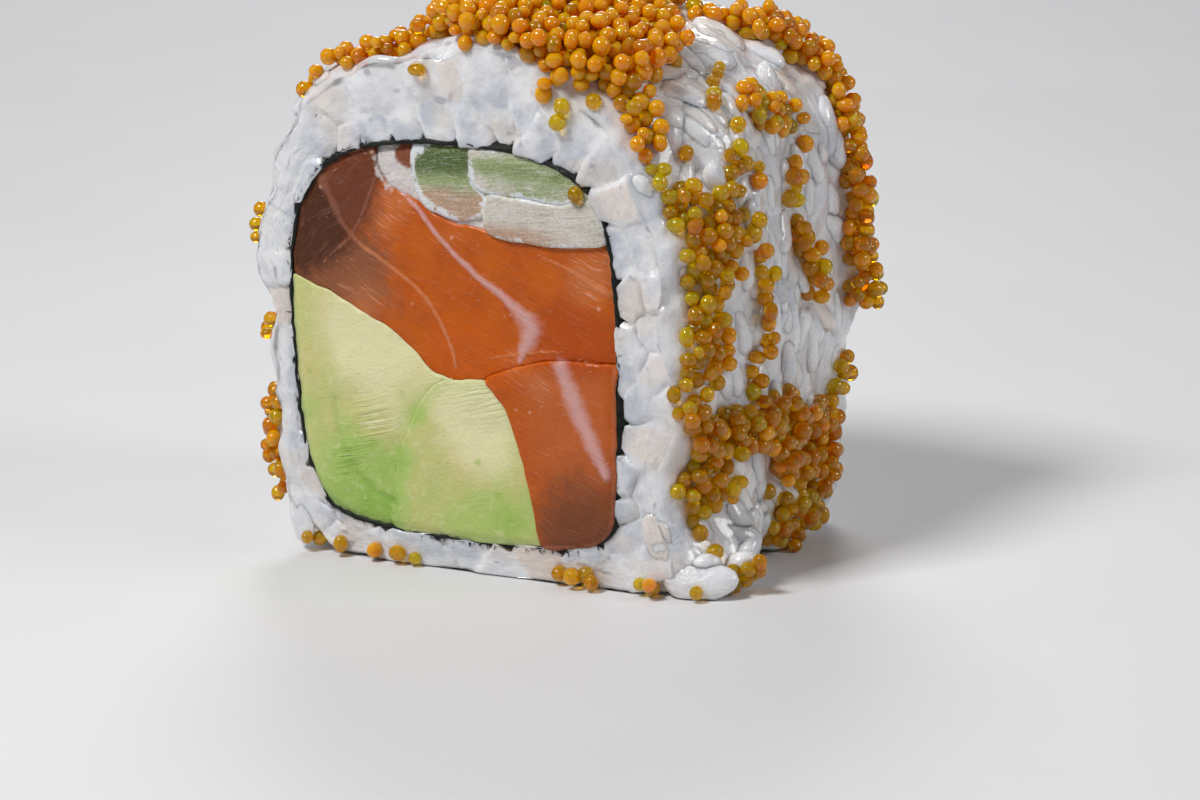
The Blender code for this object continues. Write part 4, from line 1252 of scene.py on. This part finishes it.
def patch_places(walk, reach, cling, rng):
    """Endless places (angle, y) within reach of a walk over the rice, many of them beside an earlier one."""
    scale = np.array([math.radians(1) * 22.0, 1.0])
    line = np.array(walk) * scale
    travelled = np.concatenate([[0], np.cumsum(np.linalg.norm(np.diff(line, axis=0), axis=1))])
    found = []
    while True:
        turn, where = rng.uniform(0, 2 * math.pi), rng.uniform(0, travelled[-1])
        if found and rng.random() < cling:
            start, step = found[rng.integers(len(found))], 1.3
        else:
            start = np.array([np.interp(where, travelled, line[:, axis]) for axis in (0, 1)])
            step = reach * math.sqrt(rng.random())
        place = start + step * np.array([math.cos(turn), math.sin(turn)])
        if to_segments(place[None], line[:-1], line[1:])[0].min() < reach + 0.2:
            found.append(place)
            yield place / scale


def rest_on(tree, start, way, radius, pile, eggs):
    """Where an egg coming along a ray comes to rest: pressed into the rice, or on other eggs."""
    hit, normal, _, _ = tree.ray_cast(Vector(start) * MM, Vector(way), 0.06)
    if hit is None:
        return None
    base, normal = np.array(hit) / MM, np.array(normal)
    if normal @ np.array(way) > 0:
        normal = -normal
    outwards = normal * 0.4 - np.array(way) * 0.6
    outwards /= np.linalg.norm(outwards)
    lift, others = radius * 0.55, np.array(eggs).reshape(-1, 4)
    others = others[np.linalg.norm(others[:, :3] - base, axis=1) < 8.0]
    while lift <= radius * 0.55 + pile:
        place = base + outwards * lift
        place[2] = max(place[2], radius)
        if not len(others) or (np.linalg.norm(others[:, :3] - place, axis=1) > (others[:, 3] + radius) * 0.84).all():
            return place
        lift += radius * 0.30
    return None


def lay_roe(tree, settings):
    """All eggs, as rows of place and radius, and for each its tone and kind."""
    rng = np.random.default_rng(settings.seed)
    mean = settings.egg_diameter / MM / 2
    eggs, looks = [], []

    def drop(start, way, pile, orange_share):
        radius = mean * rng.choice([rng.uniform(0.92, 1.06), rng.uniform(0.70, 0.92)], p=[0.85, 0.15])
        place = rest_on(tree, start, way, radius, pile, eggs)
        if place is None:
            return False
        eggs.append((*place, radius))
        cloudy = rng.random() < 0.15 + 0.75 * smooth_step(28.0, 42.0, place[2])
        kind = (0 if cloudy else 1) if rng.random() < orange_share else rng.integers(2, 4)
        looks.append((rng.random(), kind))
        return True

    for walk, reach, count, pile, orange_share in ROE_PATCHES:
        places = patch_places(walk, reach, 0.6, rng)
        for _ in range(count * 6):
            angle, y = next(places)
            turn, y = math.radians(angle), float(np.clip(y, 0.15 - HALF_LENGTH, HALF_LENGTH - 0.15))
            way = np.array([-math.cos(turn), 0.0, -math.sin(turn)])
            count -= drop(np.array([0.0, y, ROLL_MIDDLE]) - way * 45.0, way, pile, orange_share)
            if count == 0:
                break
    for _ in range(14):
        angle, y = rng.uniform(-190, 100), rng.uniform(-13, 15)
        places = patch_places([(angle, y), (angle - 2, y + 0.5)], 1.0, 0.5, rng)
        for _ in range(rng.integers(1, 5)):
            angle, y = next(places)
            turn = math.radians(angle)
            way = np.array([-math.cos(turn), 0.0, -math.sin(turn)])
            drop(np.array([0.0, y, ROLL_MIDDLE]) - way * 45.0, way, 0.2, 0.4)
    for x, z in FACE_EGGS:
        drop(np.array([x, -30.0, z]), np.array([0.0, 1.0, 0.0]), 0.0, 0.0)
    for x in [*rng.uniform(6.5, 13.0, 8), *rng.uniform(14.5, 22.0, 8), *rng.uniform(-17.5, -6.0, 14)]:
        drop(np.array([x, -30.0, mean * rng.uniform(1.0, 1.9)]), np.array([0.0, 1.0, 0.0]), 0.9, 0.5)
    return np.array(eggs), looks


def egg_shape():
    work = bmesh.new()
    bmesh.ops.create_uvsphere(work, u_segments=16, v_segments=9, radius=1.0)
    points = np.array([tuple(vertex.co) for vertex in work.verts])
    faces = [tuple(vertex.index for vertex in face.verts) for face in work.faces]
    work.free()
    return points, faces


def make_roe(settings):
    """Four pieces of separate eggs: cloudy orange, clear orange, golden and amber ones."""
    food = ("rice", "salmon", "cucumber", "avocado")
    tree = surface_tree([piece for piece in bpy.context.scene.objects
                         if piece.name.split("_")[0] in food and piece not in frame["nodes"].values()])
    eggs, looks = lay_roe(tree, settings)
    rng = np.random.default_rng(settings.seed + 1)
    unit, unit_faces = egg_shape()
    kinds = np.array([look[1] for look in looks])
    kinds_of_egg = (("orange", settings.orange, 0.30), ("tangerine", settings.tangerine, 0.70),
                    ("gold", settings.gold, 0.70), ("amber", settings.amber, 0.80))
    for kind, (name, hue, clearness) in enumerate(kinds_of_egg):
        vertices, tones = [], []
        for row in np.flatnonzero(kinds == kind):
            stretch = rng.normal(0, 0.08, 3)
            swung = unit[:, rng.permutation(3)] * rng.choice([-1, 1], 3)
            vertices.append(swung * (1 + stretch) * eggs[row, 3] + eggs[row, :3])
            tones.append(np.full(len(unit), looks[row][0]))
        faces = [tuple(number * len(unit) + index for index in face)
                 for number in range(len(vertices)) for face in unit_faces]
        material = roe_material("roe " + name, tuple(hue), clearness)
        piece = new_piece("roe_" + name, np.vstack(vertices), faces, material, {"tone": np.concatenate(tones)})
        face_outwards(piece)
        stands_for(piece, "roe")
        print("roe", name, len(vertices), len(vertices) * 256)


# ---------------------------------------------------------------- operators

class URAMAKI_OT_salmon(bpy.types.Operator):
    """Make the two strips of salmon"""
    bl_idname = "uramaki.salmon"
    bl_label = "Salmon"

    def execute(self, context):
        material = salmon_material(context.scene.uramaki_fillings)
        filling("salmon_upper", "salmon_top_strip", "salmon", material, salmon_features, 101, SALMON_GROWTH, 0.05)
        filling("salmon_lower", "salmon_low_strip", "salmon", material, salmon_features, 102, (), 0.05)
        return {"FINISHED"}


class URAMAKI_OT_avocado(bpy.types.Operator):
    """Make the two slices of avocado"""
    bl_idname = "uramaki.avocado"
    bl_label = "Avocado"

    def execute(self, context):
        material = avocado_material(context.scene.uramaki_fillings)
        filling("avocado_left", "avocado_left_slice", "avocado", material, avocado_features, 103, lip=0.0)
        filling("avocado_right", "avocado_right_slice", "avocado", material, avocado_features, 104, lip=0.0)
        return {"FINISHED"}


class URAMAKI_OT_cucumber(bpy.types.Operator):
    """Make the three sticks of cucumber"""
    bl_idname = "uramaki.cucumber"
    bl_label = "Cucumber"

    def execute(self, context):
        material = cucumber_material(context.scene.uramaki_fillings)
        sticks = {
            "cucumber_left": (lambda share: 2.1 * smooth_step(0.15, 1.0, share[:, 1]) - 0.1, 1.0,
                              lambda share: smooth_step(0.75, 0.2, share[:, 1])),
            "cucumber_top": (lambda share: 0.44 + 0.55 * np.exp(-((share[:, 1] - 0.66) / 0.20) ** 2)
                             - 0.4 * smooth_step(0.4, 0.0, share[:, 0]), 1.0, lambda share: 0.0 * share[:, 0]),
            "cucumber_lower": (lambda share: 0.42 * smooth_step(0.60, 0.98, share[:, 1]) - 0.25, 0.8,
                               lambda share: smooth_step(0.6, 0.1, share[:, 1]) * smooth_step(1.1, 0.2, share[:, 0])),
        }
        for seed, (node, (deep, outline, flush)) in enumerate(sticks.items()):
            filling(node, node + "_stick", "cucumber", material, cucumber_features(node, deep, outline, flush),
                    105 + seed, CUCUMBER_GROWTH if node == "cucumber_left" else ())
        return {"FINISHED"}


class URAMAKI_OT_cream_cheese(bpy.types.Operator):
    """Make the smear of cream cheese"""
    bl_idname = "uramaki.cream_cheese"
    bl_label = "Cream cheese"

    def execute(self, context):
        filling("cream_cheese", "cream_cheese_smear", "cream_cheese", cream_material(context.scene.uramaki_fillings),
                cream_features, 108)
        return {"FINISHED"}


class URAMAKI_OT_nori(bpy.types.Operator):
    """Make the nori wrapper with its torn edge"""
    bl_idname = "uramaki.nori"
    bl_label = "Nori"

    def execute(self, context):
        make_nori(context.scene.uramaki_nori)
        return {"FINISHED"}


class URAMAKI_OT_rice(bpy.types.Operator):
    """Make the pressed rice and the whole grains in it"""
    bl_idname = "uramaki.rice"
    bl_label = "Rice"

    def execute(self, context):
        make_rice(context.scene.uramaki_rice)
        return {"FINISHED"}


class URAMAKI_OT_roe(bpy.types.Operator):
    """Scatter the roe over the rice, which has to be there"""
    bl_idname = "uramaki.roe"
    bl_label = "Roe"

    def execute(self, context):
        if "rice_core" not in bpy.data.objects:
            raise RuntimeError("make the rice before the roe")
        make_roe(context.scene.uramaki_roe)
        return {"FINISHED"}


class URAMAKI_OT_stage(bpy.types.Operator):
    """Make the floor, the lights and the camera"""
    bl_idname = "uramaki.stage"
    bl_label = "Stage"

    def execute(self, context):
        make_stage(context.scene, context.scene.uramaki_stage)
        return {"FINISHED"}


# ---------------------------------------------------------------- the stage

CAMERA_TURN, CAMERA_RISE = math.radians(26.0), math.radians(13.5)
CAMERA_REACH = 0.400
CAMERA_AIM = Vector((4.22, -0.5, 12.86)) * MM


def aimed(thing, place, aim):
    thing.location = place
    thing.rotation_euler = (Vector(aim) - Vector(place)).to_track_quat("-Z", "Y").to_euler()
    bpy.context.scene.collection.objects.link(thing)


def area_light(name, place, aim, size, power):
    data = bpy.data.lights.new(name, "AREA")
    data.shape = "RECTANGLE"
    data.size, data.size_y = size
    data.energy = power
    aimed(bpy.data.objects.new(name, data), place, aim)


def make_stage(scene, settings):
    bpy.ops.mesh.primitive_circle_add(vertices=96, radius=8.0, fill_type="NGON", location=(0, 0, -0.02 * MM))
    floor = bpy.context.object
    floor.name = "floor"
    material, tree, shader = new_material("matt floor", Roughness=0.6)
    paint = use_group(tree, patchy(), First=tuple(settings.floor), Second=(0.68, 0.68, 0.69, 1), Size=60.0)["Colour"]
    wire(tree, shader.inputs["Base Color"], paint)
    floor.data.materials.append(material)
    middle = (0, 0, 0.024)
    area_light("key", (-0.16, -0.34, 0.52), middle, (0.17, 0.17), settings.key_power)
    area_light("side", (0.55, 0.10, 0.34), middle, (0.24, 0.18), settings.fill_power)
    area_light("back", (-0.25, 0.50, 0.36), middle, (0.24, 0.20), settings.fill_power)
    world = bpy.data.worlds.new("studio air")
    world.use_nodes = True
    world.node_tree.nodes["Background"].inputs[0].default_value = (0.86, 0.88, 0.91, 1.0)
    world.node_tree.nodes["Background"].inputs[1].default_value = 0.14
    scene.world = world
    scene.view_settings.view_transform = "Standard"
    back = Vector((math.sin(CAMERA_TURN) * math.cos(CAMERA_RISE),
                   -math.cos(CAMERA_TURN) * math.cos(CAMERA_RISE), math.sin(CAMERA_RISE)))
    data = bpy.data.cameras.new("camera")
    data.lens, data.sensor_width = 133.0, 36.0
    data.clip_start, data.clip_end = 0.01, 50.0
    camera = bpy.data.objects.new("camera", data)
    aimed(camera, CAMERA_AIM + back * CAMERA_REACH, CAMERA_AIM)
    scene.camera = camera


# ---------------------------------------------------------------- add-on

class URAMAKI_PT_panel(bpy.types.Panel):
    """Settings and steps of the roll"""
    bl_label = "Uramaki Roll"
    bl_idname = "URAMAKI_PT_panel"
    bl_space_type = "VIEW_3D"
    bl_region_type = "UI"
    bl_category = "Uramaki"

    def draw(self, context):
        for group in SETTINGS:
            box = self.layout.box()
            settings = getattr(context.scene, group)
            for name in settings.bl_rna.properties.keys():
                if name not in ("rna_type", "name"):
                    box.prop(settings, name)
        for operator in STEPS:
            self.layout.operator(operator.bl_idname)


SETTINGS = {
    "uramaki_rice": RiceSettings,
    "uramaki_roe": RoeSettings,
    "uramaki_fillings": FillingSettings,
    "uramaki_nori": NoriSettings,
    "uramaki_stage": StageSettings,
}
STEPS = (URAMAKI_OT_stage, URAMAKI_OT_salmon, URAMAKI_OT_avocado, URAMAKI_OT_cucumber, URAMAKI_OT_cream_cheese,
         URAMAKI_OT_nori, URAMAKI_OT_rice, URAMAKI_OT_roe)


def register():
    for name, group in SETTINGS.items():
        bpy.utils.register_class(group)
        setattr(bpy.types.Scene, name, PointerProperty(type=group))
    for step in STEPS:
        bpy.utils.register_class(step)
    bpy.utils.register_class(URAMAKI_PT_panel)


def unregister():
    bpy.utils.unregister_class(URAMAKI_PT_panel)
    for step in reversed(STEPS):
        bpy.utils.unregister_class(step)
    for name, group in SETTINGS.items():
        delattr(bpy.types.Scene, name)
        bpy.utils.unregister_class(group)


def main():
    register()
    for step in STEPS:
        area_name, step_name = step.bl_idname.split(".")
        getattr(getattr(bpy.ops, area_name), step_name)()


if __name__ == "__main__":
    main()
